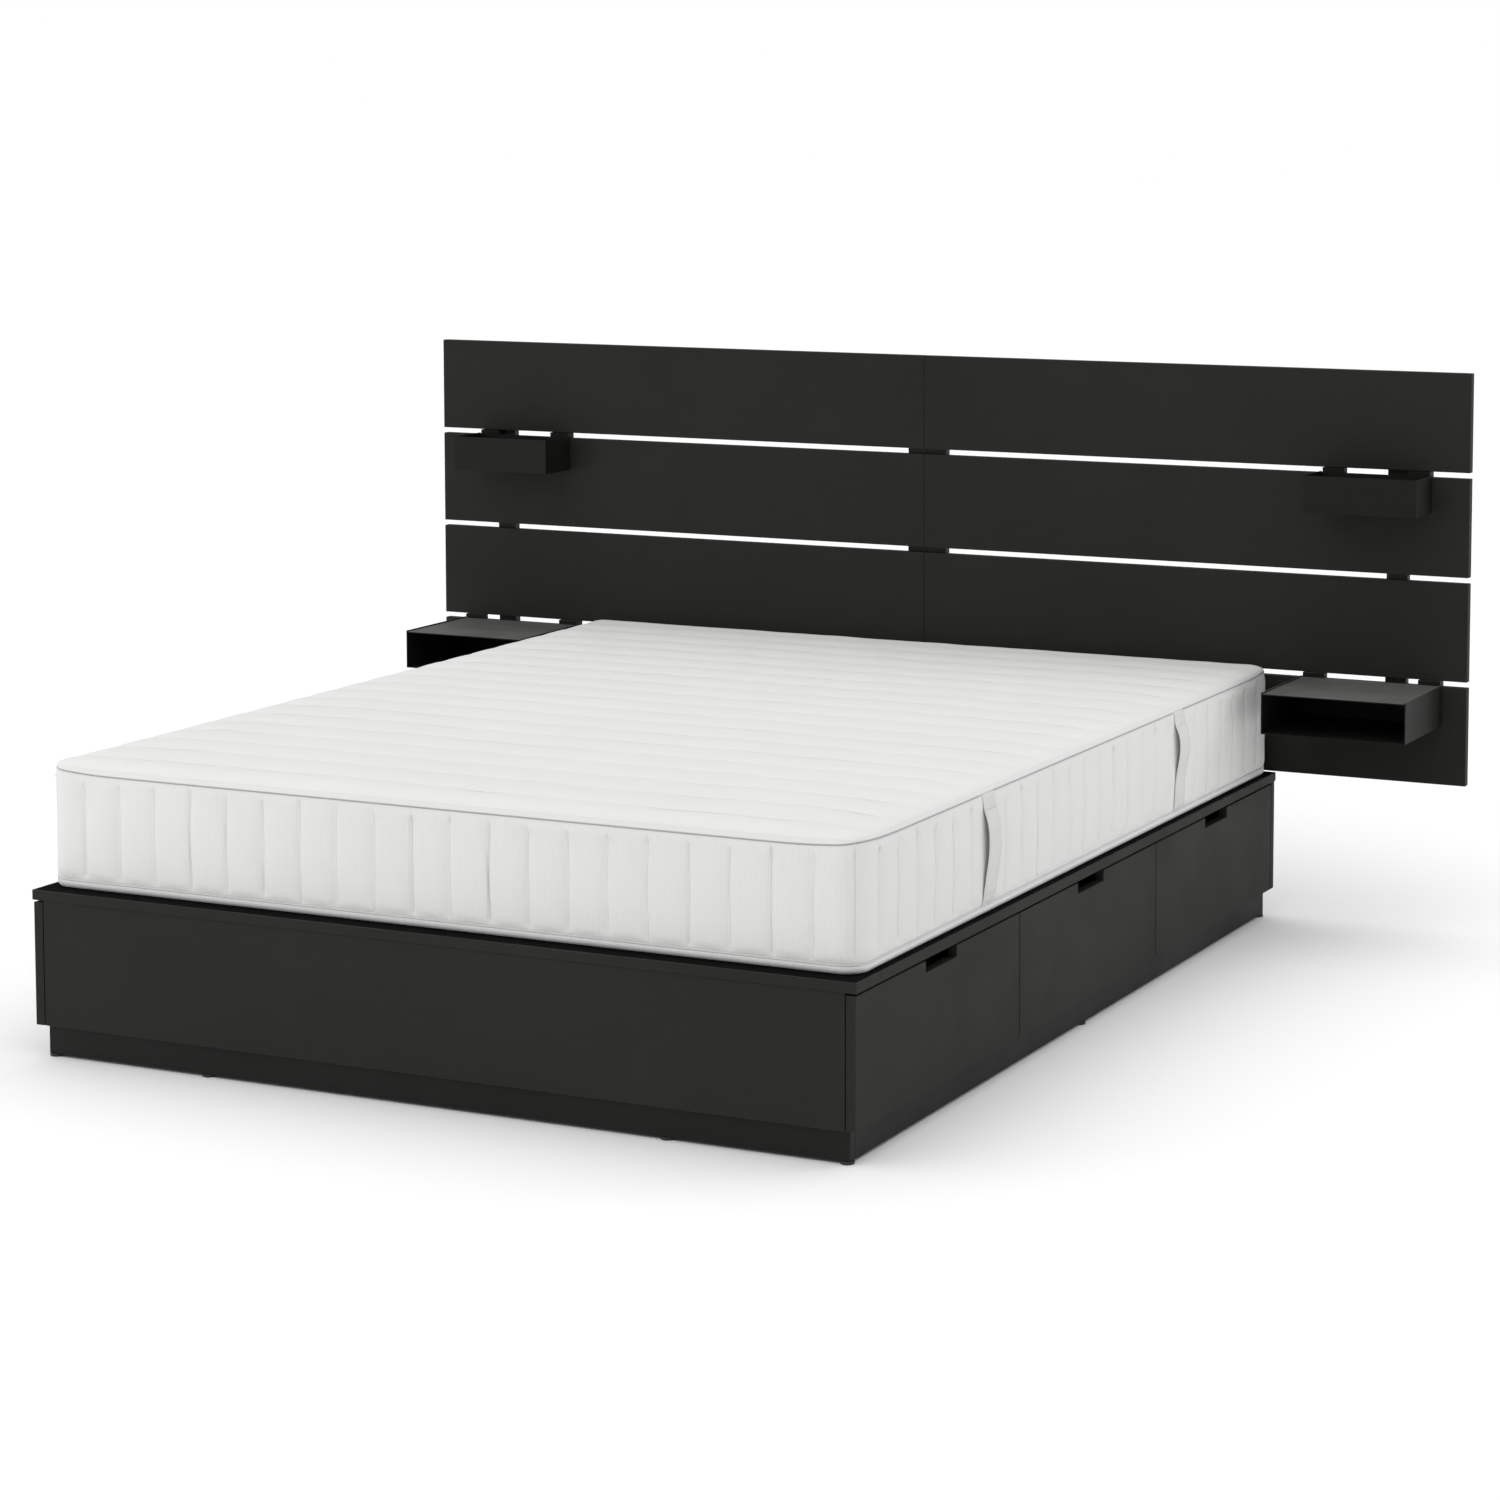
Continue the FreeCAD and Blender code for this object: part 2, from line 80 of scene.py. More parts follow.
class Shader:
    """A principled material while its nodes are being joined up."""

    def __init__(self, name: str, sockets: dict[str, Any]) -> None:
        """Make the material.

        Args:
            name: Name of the material.
            sockets: Constant values of the principled shader, by socket name.
        """
        self.material: Material = bpy.data.materials.new(name)
        self.material.use_nodes = True
        self.tree = self.material.node_tree
        self.tree.nodes.clear()
        self.out = self.add("ShaderNodeOutputMaterial")
        self.surface = self.add("ShaderNodeBsdfPrincipled", sockets)
        self.tree.links.new(self.surface.outputs[0], self.out.inputs[0])

    def add(self, kind: str, inputs: Optional[dict[Any, Any]] = None, **settings: Any) -> Node:
        """Add a node.

        Args:
            kind: Blender's name for the kind of node.
            inputs: Sockets to link or constants to set, by socket name or number.
            settings: Properties of the node.

        Returns:
            The new node.
        """
        node = self.tree.nodes.new(kind)
        for key, value in settings.items():
            setattr(node, key, value)
        for key, value in (inputs or {}).items():
            if isinstance(value, Socket):
                self.tree.links.new(value, node.inputs[key])
            else:
                node.inputs[key].default_value = value
        return node

    def wire(self, socket: str, value: Socket) -> None:
        """Link a value to a socket of the principled shader."""
        self.tree.links.new(value, self.surface.inputs[socket])

    def place(self, scale: Sequence[float] = (1, 1, 1), uv: bool = False) -> Socket:
        """Coordinates in metres.

        Args:
            scale: Stretch along each axis.
            uv: Whether to read the piece's own UV map and not its object coordinates.

        Returns:
            The scaled coordinates.
        """
        source = self.add("ShaderNodeTexCoord").outputs["UV" if uv else "Object"]
        return self.add("ShaderNodeMapping", {"Vector": source, "Scale": scale}).outputs[0]

    def noise(self, where: Socket, scale: float, detail: float = 3.0, distortion: float = 0.0) -> Socket:
        """Cloudy noise from 0 to 1, with about scale blotches in a metre."""
        return self.add("ShaderNodeTexNoise", {"Vector": where, "Scale": scale, "Detail": detail,
                                               "Distortion": distortion}).outputs["Fac"]

    def sums(self, operation: str, first: Any, second: Any = 0.0) -> Socket:
        """Arithmetic on two values."""
        return self.add("ShaderNodeMath", {0: first, 1: second}, operation=operation).outputs[0]

    def spread(self, value: Socket, low: float, high: float, to_low: float = 0.0, to_high: float = 1.0,
               smooth: bool = False) -> Socket:
        """Stretch a value's range.

        Args:
            value: The value.
            low: Start of the range that it has.
            high: End of the range that it has.
            to_low: Start of the new range.
            to_high: End of the new range.
            smooth: Whether to ease in and out.

        Returns:
            The stretched value.
        """
        node = self.add("ShaderNodeMapRange", {0: value, 1: low, 2: high, 3: to_low, 4: to_high})
        node.interpolation_type = "SMOOTHSTEP" if smooth else "LINEAR"
        return node.outputs[0]

    def blend(self, share: Socket, first: Any, second: Any) -> Socket:
        """Mix two colours.

        Args:
            share: How much of the second colour there is, from 0 to 1.
            first: Colour, or the socket that gives it, at a share of 0.
            second: Colour, or the socket that gives it, at a share of 1.

        Returns:
            The mixed colour.
        """
        node = self.add("ShaderNodeMix", data_type="RGBA")
        for number, value in ((0, share), (6, first), (7, second)):
            if isinstance(value, Socket):
                self.tree.links.new(value, node.inputs[number])
            else:
                node.inputs[number].default_value = (*value, 1.0) if len(value) == 3 else value
        return node.outputs[2]

    def relief(self, height: Socket, depth: float, below: Optional[Socket] = None) -> Socket:
        """Bump of a given depth, on top of another one.

        Args:
            height: Pattern that makes the bump.
            depth: Height of the bump in metres.
            below: Normal of the bump underneath.

        Returns:
            The normal.
        """
        inputs: dict[Any, Any] = {"Height": height, "Distance": depth, "Strength": 1.0}
        if below is not None:
            inputs["Normal"] = below
        return self.add("ShaderNodeBump", inputs).outputs[0]

    def bevels(self) -> Socket:
        """Find the small bevels of a square-cut board.

        Returns:
            1 on the bevels and 0 on the flat faces.
        """
        normal = self.add("ShaderNodeNewGeometry").outputs["True Normal"]
        parts = self.add("ShaderNodeSeparateXYZ", {0: normal}).outputs
        sizes = [self.sums("ABSOLUTE", part) for part in parts]
        largest = self.sums("MAXIMUM", self.sums("MAXIMUM", sizes[0], sizes[1]), sizes[2])
        return self.spread(largest, 0.97, 0.85)


class Finish(Protocol):
    """Anything that can make a material."""

    def make(self, name: str) -> Material:
        """Build the material under that name."""


@dataclass(frozen=True)
class BoardFoil:
    """Printed foil on a board: fine pores, a faint cloudiness and edges that are rubbed a little."""

    colour: tuple[float, float, float]
    gloss: float = 0.60
    specular: float = 0.12
    cloud: float = 0.10
    worn: float = 1.8
    pore_depth: float = 0.05 * MM
    grain: Axis = Axis.X

    def make(self, name: str) -> Material:
        """Build the foil.

        Args:
            name: Name of the material.

        Returns:
            The material.
        """
        shader = Shader(name, {"Specular IOR Level": self.specular})
        stretch = [1.0, 1.0, 1.0]
        stretch[self.grain.value] = 0.12
        where = shader.place()
        streaks = shader.noise(shader.place(stretch), 160.0, 5.0, 0.4)
        clouds = shader.noise(where, 2.6, 3.0)
        pores = shader.noise(where, 1300.0, 2.0)
        tone = shader.sums("ADD", shader.sums("MULTIPLY", clouds, 0.65),
                           shader.sums("MULTIPLY", streaks, 0.35))
        dark = [c * (1 - self.cloud) for c in self.colour]
        light = [c * (1 + self.cloud) for c in self.colour]
        face = shader.blend(shader.spread(tone, 0.3, 0.7), dark, light)
        rubbed = [min(1.0, c * self.worn + 0.004) for c in self.colour]
        patches = shader.spread(shader.noise(where, 38.0, 4.0), 0.35, 0.75, 0.25, 1.0)
        edge = shader.sums("MULTIPLY", shader.bevels(), patches)
        shader.wire("Base Color", shader.blend(edge, face, rubbed))
        matt = shader.spread(shader.noise(where, 7.0, 4.0), 0.3, 0.7, self.gloss - 0.04, self.gloss + 0.05)
        shader.wire("Roughness", shader.sums("SUBTRACT", matt, shader.sums("MULTIPLY", edge, 0.10)))
        fine = shader.relief(pores, self.pore_depth)
        shader.wire("Normal", shader.relief(streaks, self.pore_depth * 0.8, fine))
        return shader.material


@dataclass(frozen=True)
class SawnWood:
    """Solid or laminated wood with grain along one axis, pores, and glue lines if it is laminated."""

    pale: tuple[float, float, float]
    dark: tuple[float, float, float]
    grain: Axis = Axis.X
    rough: float = 0.62
    lamination: float = 0.0
    board_pitch: float = 0.0

    def make(self, name: str) -> Material:
        """Build the wood.

        Args:
            name: Name of the material.

        Returns:
            The material.
        """
        shader = Shader(name, {"Specular IOR Level": 0.3, "Coat Weight": 0.04, "Coat Roughness": 0.4})
        stretch = [1.0, 1.0, 1.0]
        stretch[self.grain.value] = 0.045
        along = shader.place(stretch)
        rings = shader.noise(along, 34.0, 4.0, 1.6)
        fibres = shader.noise(along, 420.0, 3.0)
        tone = shader.sums("ADD", shader.sums("MULTIPLY", rings, 0.7), shader.sums("MULTIPLY", fibres, 0.3))
        colour = shader.blend(shader.spread(tone, 0.32, 0.68), self.dark, self.pale)
        where = shader.place()
        parts = shader.add("ShaderNodeSeparateXYZ", {0: where}).outputs
        if self.board_pitch:
            number = shader.sums("FLOOR", shader.sums("DIVIDE", parts[1], self.board_pitch))
            chance = shader.add("ShaderNodeTexWhiteNoise", {"W": number}, noise_dimensions="1D").outputs[0]
            paler = [c * 1.18 for c in self.pale]
            colour = shader.blend(shader.sums("MULTIPLY", chance, 0.45), colour, paler)
        if self.lamination:
            layer = shader.sums("FRACT", shader.sums("DIVIDE", parts[2], self.lamination))
            line = shader.spread(layer, 0.0, 0.14, 0.55, 0.0, True)
            colour = shader.blend(line, colour, [c * 0.4 for c in self.dark])
        edge = shader.sums("MULTIPLY", shader.bevels(), 0.35)
        shader.wire("Base Color", shader.blend(edge, colour, [min(1.0, c * 1.3) for c in self.pale]))
        shader.wire("Roughness", shader.spread(fibres, 0.3, 0.7, self.rough - 0.07, self.rough + 0.08))
        shader.wire("Normal", shader.relief(fibres, 0.08 * MM, shader.relief(rings, 0.05 * MM)))
        return shader.material


@dataclass(frozen=True)
class PowderCoat:
    """Baked powder on steel: fine orange peel with a dusting of lighter grains, and a paler painted sheen on upward
    faces above a given height.
    """

    colour: tuple[float, float, float]
    rough: float = 0.5
    specular: float = 0.15
    # Upward faces above this height get the paler colour below, a painted sheen standing in for light on the top
    # faces; the default height is above every part, so it paints none.
    painted_sheen_above: float = 9.0
    painted_sheen: tuple[float, float, float] = (0.13, 0.13, 0.125)
    peel: float = 0.07 * MM

    def make(self, name: str) -> Material:
        """Build the coat.

        Args:
            name: Name of the material.

        Returns:
            The material.
        """
        shader = Shader(name, {"Specular IOR Level": self.specular})
        where = shader.place()
        peel = shader.add("ShaderNodeTexVoronoi", {"Vector": where, "Scale": 640.0, "Smoothness": 0.6},
                          feature="SMOOTH_F1").outputs["Distance"]
        grains = shader.spread(shader.noise(where, 2100.0, 1.0), 0.60, 0.72)
        clouds = shader.spread(shader.noise(where, 9.0, 3.0), 0.3, 0.7)
        face = shader.blend(clouds, [c * 0.88 for c in self.colour], [c * 1.12 for c in self.colour])
        dusted = shader.sums("MULTIPLY", grains, 0.35)
        face = shader.blend(dusted, face, [min(1.0, c * 2.2) for c in self.colour])
        normal = shader.add("ShaderNodeNewGeometry").outputs["True Normal"]
        upward = shader.add("ShaderNodeSeparateXYZ", {0: normal}).outputs[2]
        height = shader.add("ShaderNodeSeparateXYZ", {0: where}).outputs[2]
        # Painted sheen: upward faces above the given height are blended towards the paler colour, standing in for
        # the light on the shelf tops.
        painted_sheen = shader.sums("MULTIPLY", shader.spread(upward, 0.7, 0.98), shader.spread(clouds, 0, 1, 0.7, 1.0))
        painted_sheen = shader.sums("MULTIPLY", painted_sheen, shader.sums("GREATER_THAN", height, self.painted_sheen_above))
        shader.wire("Base Color", shader.blend(painted_sheen, face, self.painted_sheen))
        shader.wire("Roughness", shader.spread(clouds, 0.0, 1.0, self.rough - 0.04, self.rough + 0.05))
        shader.wire("Normal", shader.relief(peel, self.peel))
        return shader.material


@dataclass(frozen=True)
class PlatedSteel:
    """Zinc-plated steel with drawn streaks and a spangle of tones."""

    colour: tuple[float, float, float]
    streak: Axis = Axis.X
    rough: float = 0.34

    def make(self, name: str) -> Material:
        """Build the plating.

        Args:
            name: Name of the material.

        Returns:
            The material.
        """
        shader = Shader(name, {"Metallic": 1.0})
        stretch = [1.0, 1.0, 1.0]
        stretch[self.streak.value] = 0.02
        lines = shader.noise(shader.place(stretch), 900.0, 3.0)
        where = shader.place()
        spangle = shader.add("ShaderNodeTexVoronoi", {"Vector": where, "Scale": 130.0}).outputs["Color"]
        tone = shader.add("ShaderNodeSeparateXYZ", {0: spangle}).outputs[0]
        dull = [c * 0.72 for c in self.colour]
        shader.wire("Base Color", shader.blend(tone, dull, self.colour))
        shader.wire("Roughness", shader.spread(lines, 0.3, 0.7, self.rough - 0.08, self.rough + 0.12))
        shader.wire("Normal", shader.relief(lines, 0.02 * MM))
        return shader.material


@dataclass(frozen=True)
class MouldedPlastic:
    """Hard plastic with a fine spark-eroded texture."""

    colour: tuple[float, float, float]
    specular: float = 0.45
    scuff: float = 1.8

    def make(self, name: str) -> Material:
        """Build the plastic.

        Args:
            name: Name of the material.

        Returns:
            The material.
        """
        shader = Shader(name, {"Specular IOR Level": self.specular})
        where = shader.place()
        grain = shader.noise(where, 2400.0, 2.0)
        clouds = shader.spread(shader.noise(where, 60.0, 3.0), 0.3, 0.7)
        scuffed = [min(1.0, c * self.scuff) for c in self.colour]
        shader.wire("Base Color", shader.blend(clouds, self.colour, scuffed))
        rough = 0.45 + 0.4 * (self.specular < 0.2)
        shader.wire("Roughness", shader.spread(clouds, 0.0, 1.0, rough, rough + 0.12))
        shader.wire("Normal", shader.relief(grain, 0.04 * MM))
        return shader.material


@dataclass(frozen=True)
class RibKnit:
    """Soft knitted ticking: fine ribs across the first UV direction and loops along the second."""

    colour: tuple[float, float, float]
    rib_pitch: float = 5.6 * MM
    loop_pitch: float = 2.1 * MM
    rib_depth: float = 0.30 * MM
    sheen: float = 0.35

    def make(self, name: str) -> Material:
        """Build the knit.

        Args:
            name: Name of the material.

        Returns:
            The material.
        """
        shader = Shader(name, {"Specular IOR Level": 0.15, "Sheen Weight": self.sheen,
                               "Sheen Roughness": 0.5})
        across = shader.place(uv=True)
        parts = shader.add("ShaderNodeSeparateXYZ", {0: across}).outputs
        solid = shader.place()
        wander = shader.spread(shader.noise(solid, 26.0, 2.0), 0.0, 1.0, -0.4, 0.4)
        turns = shader.sums("ADD", shader.sums("MULTIPLY", parts[0], math.tau / self.rib_pitch), wander)
        ribs = shader.spread(shader.sums("SINE", turns), -1.0, 1.0)
        slant = shader.sums("MULTIPLY", shader.sums("ABSOLUTE", shader.sums("SINE", turns)), 1.4)
        rows = shader.sums("ADD", shader.sums("MULTIPLY", parts[1], math.tau / self.loop_pitch), slant)
        loops = shader.spread(shader.sums("SINE", rows), -1.0, 1.0)
        knit = shader.sums("ADD", shader.sums("MULTIPLY", ribs, 0.7), shader.sums("MULTIPLY", loops, 0.3))
        clouds = shader.spread(shader.noise(solid, 5.0, 4.0), 0.3, 0.7)
        fluff = shader.noise(solid, 700.0, 3.0)
        shade = shader.sums("ADD", shader.sums("MULTIPLY", knit, 0.45), shader.sums("MULTIPLY", clouds, 0.3))
        shade = shader.sums("ADD", shade, shader.sums("MULTIPLY", fluff, 0.25))
        shader.wire("Base Color", shader.blend(shade, [c * 0.93 for c in self.colour], self.colour))
        shader.wire("Roughness", shader.spread(fluff, 0.3, 0.7, 0.86, 0.97))
        shader.wire("Normal", shader.relief(knit, self.rib_depth, shader.relief(fluff, 0.15 * MM)))
        return shader.material


@dataclass(frozen=True)
class WovenBand:
    """Woven tape: a diagonal twill on object coordinates, for straps, piping and tapes."""

    colour: tuple[float, float, float]
    thread: float = 1.1 * MM

    def make(self, name: str) -> Material:
        """Build the weave.

        Args:
            name: Name of the material.

        Returns:
            The material.
        """
        shader = Shader(name, {"Specular IOR Level": 0.2, "Sheen Weight": 0.3, "Sheen Roughness": 0.4})
        where = shader.place()
        parts = shader.add("ShaderNodeSeparateXYZ", {0: where}).outputs
        pace = math.tau / self.thread
        level = shader.sums("MULTIPLY", shader.sums("ADD", parts[0], parts[1]), pace)
        climb = shader.sums("MULTIPLY", parts[2], pace)
        warp = shader.sums("SINE", shader.sums("ADD", level, climb))
        weft = shader.sums("SINE", shader.sums("SUBTRACT", level, climb))
        twill = shader.spread(shader.sums("ADD", warp, shader.sums("MULTIPLY", weft, 0.6)), -1.6, 1.6)
        fluff = shader.noise(where, 900.0, 2.0)
        tone = shader.sums("ADD", shader.sums("MULTIPLY", twill, 0.7), shader.sums("MULTIPLY", fluff, 0.3))
        shader.wire("Base Color", shader.blend(tone, [c * 0.86 for c in self.colour], self.colour))
        shader.wire("Roughness", shader.spread(fluff, 0.3, 0.7, 0.78, 0.92))
        shader.wire("Normal", shader.relief(twill, 0.22 * MM))
        return shader.material


@dataclass(frozen=True)
class PlainGround:
    """Pale studio floor with hardly any texture."""

    colour: tuple[float, float, float] = (0.96, 0.96, 0.96)

    def make(self, name: str) -> Material:
        """Build the floor's material.

        Args:
            name: Name of the material.

        Returns:
            The material.
        """
        shader = Shader(name, {"Roughness": 0.95, "Specular IOR Level": 0.0})
        clouds = shader.noise(shader.place(), 0.4, 2.0)
        shader.wire("Base Color", shader.blend(clouds, [c * 0.995 for c in self.colour], self.colour))
        return shader.material


class Paintbox:
    """Every material of the bed, each made once."""

    FINISHES: dict[str, Finish] = {
        "board_black": BoardFoil((0.0190, 0.0195, 0.0160)),
        "board_black_upright": BoardFoil((0.0190, 0.0195, 0.0160), grain=Axis.Y),
        "plinth_black": BoardFoil((0.0075, 0.0075, 0.0065), gloss=0.55, specular=0.2, worn=1.5),
        "carcass_board": BoardFoil((0.030, 0.030, 0.027), gloss=0.6, specular=0.25, grain=Axis.Y),
        "drawer_foil": BoardFoil((0.52, 0.52, 0.50), gloss=0.5, cloud=0.04, worn=1.08, grain=Axis.Y),
        "rail_black": SawnWood((0.020, 0.019, 0.017), (0.009, 0.009, 0.008), grain=Axis.Z),
        "beam_black": SawnWood((0.030, 0.028, 0.025), (0.012, 0.012, 0.010), grain=Axis.Y),
        "slat_wood": SawnWood((0.66, 0.50, 0.32), (0.46, 0.32, 0.18), lamination=2.0 * MM,
                              board_pitch=0.1153),
        "sheet_black": PowderCoat((0.0085, 0.0087, 0.0075), rough=0.55),
        "slide_steel": PlatedSteel((0.62, 0.63, 0.64)),
        "screw_steel": PlatedSteel((0.30, 0.29, 0.27), streak=Axis.Z, rough=0.3),
        "glide_plastic": MouldedPlastic((0.012, 0.012, 0.012)),
        # Near-black sheet on the rim round the mattress: painted shade for the shadow under the mattress's edge.
        "shadow_sheet_black": MouldedPlastic((0.0022, 0.0022, 0.0022), specular=0.05, scuff=1.3),
        "mattress_cover": RibKnit((0.775, 0.775, 0.765)),
        "mattress_band": WovenBand((0.79, 0.79, 0.78)),
        # The top piping's grey is painted shade: it stands in for the dark shadow line along the top seam.
        "mattress_piping_top": WovenBand((0.44, 0.44, 0.44)),
        "mattress_piping_bottom": WovenBand((0.74, 0.74, 0.73)),
        "mattress_thread": WovenBand((0.70, 0.70, 0.69), thread=0.5 * MM),
        "tape_white": WovenBand((0.62, 0.60, 0.55), thread=1.6 * MM),
        "ground": PlainGround(),
    }

    def __init__(self) -> None:
        """Start with nothing made."""
        self.made: dict[str, Material] = {}

    def get(self, name: str) -> Material:
        """Give a material by name.

        Args:
            name: Name of the finish.

        Returns:
            The material, made at the first call.
        """
        if name not in self.made:
            self.made[name] = self.FINISHES[name].make(name)
        return self.made[name]

    def mix(self, name: str, finish: Finish) -> None:
        """Add a finish whose sizes are known only from the model."""
        self.made[name] = finish.make(name)

    def dress(self, node: str, name: str) -> None:
        """Put a finish on a CAD node.

        Args:
            node: Name of the CAD node.
            name: Name of the finish.
        """
        piece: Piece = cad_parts[node]
        if not piece.material_slots:
            piece.data.materials.append(self.get(name))
        for place in piece.material_slots:
            place.material = self.get(name)


# ---------------------------------------------------------------- meshes

def make_piece(name: str, points: np.ndarray, faces: Sequence[Sequence[int]], material: Material,
               smooth: bool = True) -> Piece:
    """Make a mesh object at the origin.

    Args:
        name: Name of the object.
        points: One row of coordinates for each vertex.
        faces: Vertex numbers of each face.
        material: Its material.
        smooth: Whether its faces are shaded smooth.

    Returns:
        The new object.
    """
    mesh = bpy.data.meshes.new(name)
    mesh.from_pydata(np.asarray(points, float).tolist(), [], [list(f) for f in faces])
    mesh.materials.append(material)
    if smooth:
        mesh.polygons.foreach_set("use_smooth", [True] * len(mesh.polygons))
    mesh.update()
    piece = bpy.data.objects.new(name, mesh)
    bpy.context.scene.collection.objects.link(piece)
    return piece


def line_object(name: str, lines: Sequence[np.ndarray], facings: Sequence[np.ndarray],
                closed: bool = False) -> Piece:
    """Make a wire object that a Geometry Nodes tree works from.

    Args:
        name: Name of the object.
        lines: Points of each line.
        facings: Outward direction at each of those points.
        closed: Whether each line ends where it starts.

    Returns:
        A mesh of edges with a vector attribute named facing.
    """
    points: list[list[float]] = []
    edges: list[tuple[int, int]] = []
    outward: list[float] = []
    for line, facing in zip(lines, facings):
        first = len(points)
        points += np.asarray(line, float).tolist()
        outward += np.asarray(facing, float).ravel().tolist()
        last = len(points) - 1
        edges += [(k, k + 1) for k in range(first, last)]
        if closed:
            edges.append((last, first))
    mesh = bpy.data.meshes.new(name)
    mesh.from_pydata(points, edges, [])
    mesh.attributes.new("facing", "FLOAT_VECTOR", "POINT").data.foreach_set("vector", outward)
    wire = bpy.data.objects.new(name, mesh)
    bpy.context.scene.collection.objects.link(wire)
    return wire


def islands(node: str) -> list[Box]:
    """Boxes of the separate solids of a CAD node.

    Args:
        node: Name of the CAD node.

    Returns:
        The lowest and highest corner of each solid, sorted.
    """
    copy = bmesh.new()
    copy.from_mesh(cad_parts[node].data)
    bmesh.ops.remove_doubles(copy, verts=copy.verts, dist=0.01 * MM)
    seen: set[int] = set()
    boxes: list[Box] = []
    copy.verts.ensure_lookup_table()
    for start in copy.verts:
        if start.index in seen:
            continue
        seen.add(start.index)
        heap, found = [start], []
        while heap:
            corner = heap.pop()
            found.append(corner.co.copy())
            for edge in corner.link_edges:
                other = edge.other_vert(corner)
                if other.index not in seen:
                    seen.add(other.index)
                    heap.append(other)
        boxes.append((Vector([min(c[k] for c in found) for k in range(3)]),
                      Vector([max(c[k] for c in found) for k in range(3)])))
    copy.free()
    return sorted(boxes, key=lambda box: tuple(round(v, 4) for v in box[0]))


def lathe(profile: Sequence[tuple[float, float]], sides: int) -> tuple[list[Vector], list[list[int]]]:
    """Turn a profile about the Z axis.

    Args:
        profile: Radius and height of each step, from the lower middle to the upper middle.
        sides: Number of sides.

    Returns:
        Points and faces of a closed shape with outward faces.
    """
    points: list[Vector] = []
    faces: list[list[int]] = []
    for radius, height in profile:
        for k in range(sides):
            turn = math.tau * k / sides
            points.append(Vector((radius * math.cos(turn), radius * math.sin(turn), height)))
    for row in range(len(profile) - 1):
        for k in range(sides):
            a, b = row * sides + k, row * sides + (k + 1) % sides
            faces.append([a, b, b + sides, a + sides])
    faces.append(list(range(sides))[::-1])
    faces.append([(len(profile) - 1) * sides + k for k in range(sides)])
    return points, faces


# ---------------------------------------------------------------- geometry nodes

class GeometryTree:
    """A Geometry Nodes tree with named inputs, ending in Realize Instances and Set Material."""

    def __init__(self, name: str) -> None:
        """Start an empty tree.

        Args:
            name: Name of the tree.
        """
        self.group = bpy.data.node_groups.new(name, "GeometryNodeTree")
        self.group.interface.new_socket("Geometry", in_out="INPUT", socket_type="NodeSocketGeometry")
        self.group.interface.new_socket("Geometry", in_out="OUTPUT", socket_type="NodeSocketGeometry")
        self.source = self.group.nodes.new("NodeGroupInput")
        self.sink = self.group.nodes.new("NodeGroupOutput")

    def size(self, name: str, kind: str = "Float") -> Socket:
        """Add a named input.

        Args:
            name: Name of the input.
            kind: Float, Int, Object or Material.

        Returns:
            The socket that gives its value inside the tree.
        """
        self.group.interface.new_socket(name, in_out="INPUT", socket_type=f"NodeSocket{kind}")
        return self.source.outputs[name]

    def add(self, kind: str, inputs: Optional[dict[Any, Any]] = None, **settings: Any) -> Node:
        """Add a node.

        Args:
            kind: Blender's name for the kind of node.
            inputs: Sockets to link or constants to set, by socket name or number.
            settings: Properties of the node.

        Returns:
            The new node.
        """
        node = self.group.nodes.new(kind)
        for key, value in settings.items():
            setattr(node, key, value)
        for key, value in (inputs or {}).items():
            if isinstance(value, Socket):
                self.group.links.new(value, node.inputs[key])
            else:
                node.inputs[key].default_value = value
        return node

    def finish(self, geometry: Socket) -> None:
        """Join the end of the tree to its output.

        Args:
            geometry: The last socket of the tree.
        """
        real = self.add("GeometryNodeRealizeInstances", {0: geometry}).outputs[0]
        painted = self.add("GeometryNodeSetMaterial", {0: real, "Material": self.size("Finish", "Material")})
        self.group.links.new(painted.outputs[0], self.sink.inputs[0])

    def run(self, name: str, carrier: Piece, values: dict[str, Any]) -> Piece:
        """Run the tree on a carrier and keep the result as a plain mesh.

        Args:
            name: Name of the finished piece.
            carrier: Object that the tree works from, which is removed.
            values: Value of each named input.

        Returns:
            The finished piece, with no modifier.
        """
        modifier = carrier.modifiers.new("rows", "NODES")
        modifier.node_group = self.group
        for item in self.group.interface.items_tree:
            if item.in_out == "INPUT" and item.name in values:
                modifier[item.identifier] = values[item.name]
        carrier.update_tag()
        bpy.context.view_layer.update()
        graph = bpy.context.evaluated_depsgraph_get()
        mesh = bpy.data.meshes.new_from_object(carrier.evaluated_get(graph), depsgraph=graph)
        mesh.name = name
        bpy.data.objects.remove(carrier)
        piece = bpy.data.objects.new(name, mesh)
        bpy.context.scene.collection.objects.link(piece)
        return piece


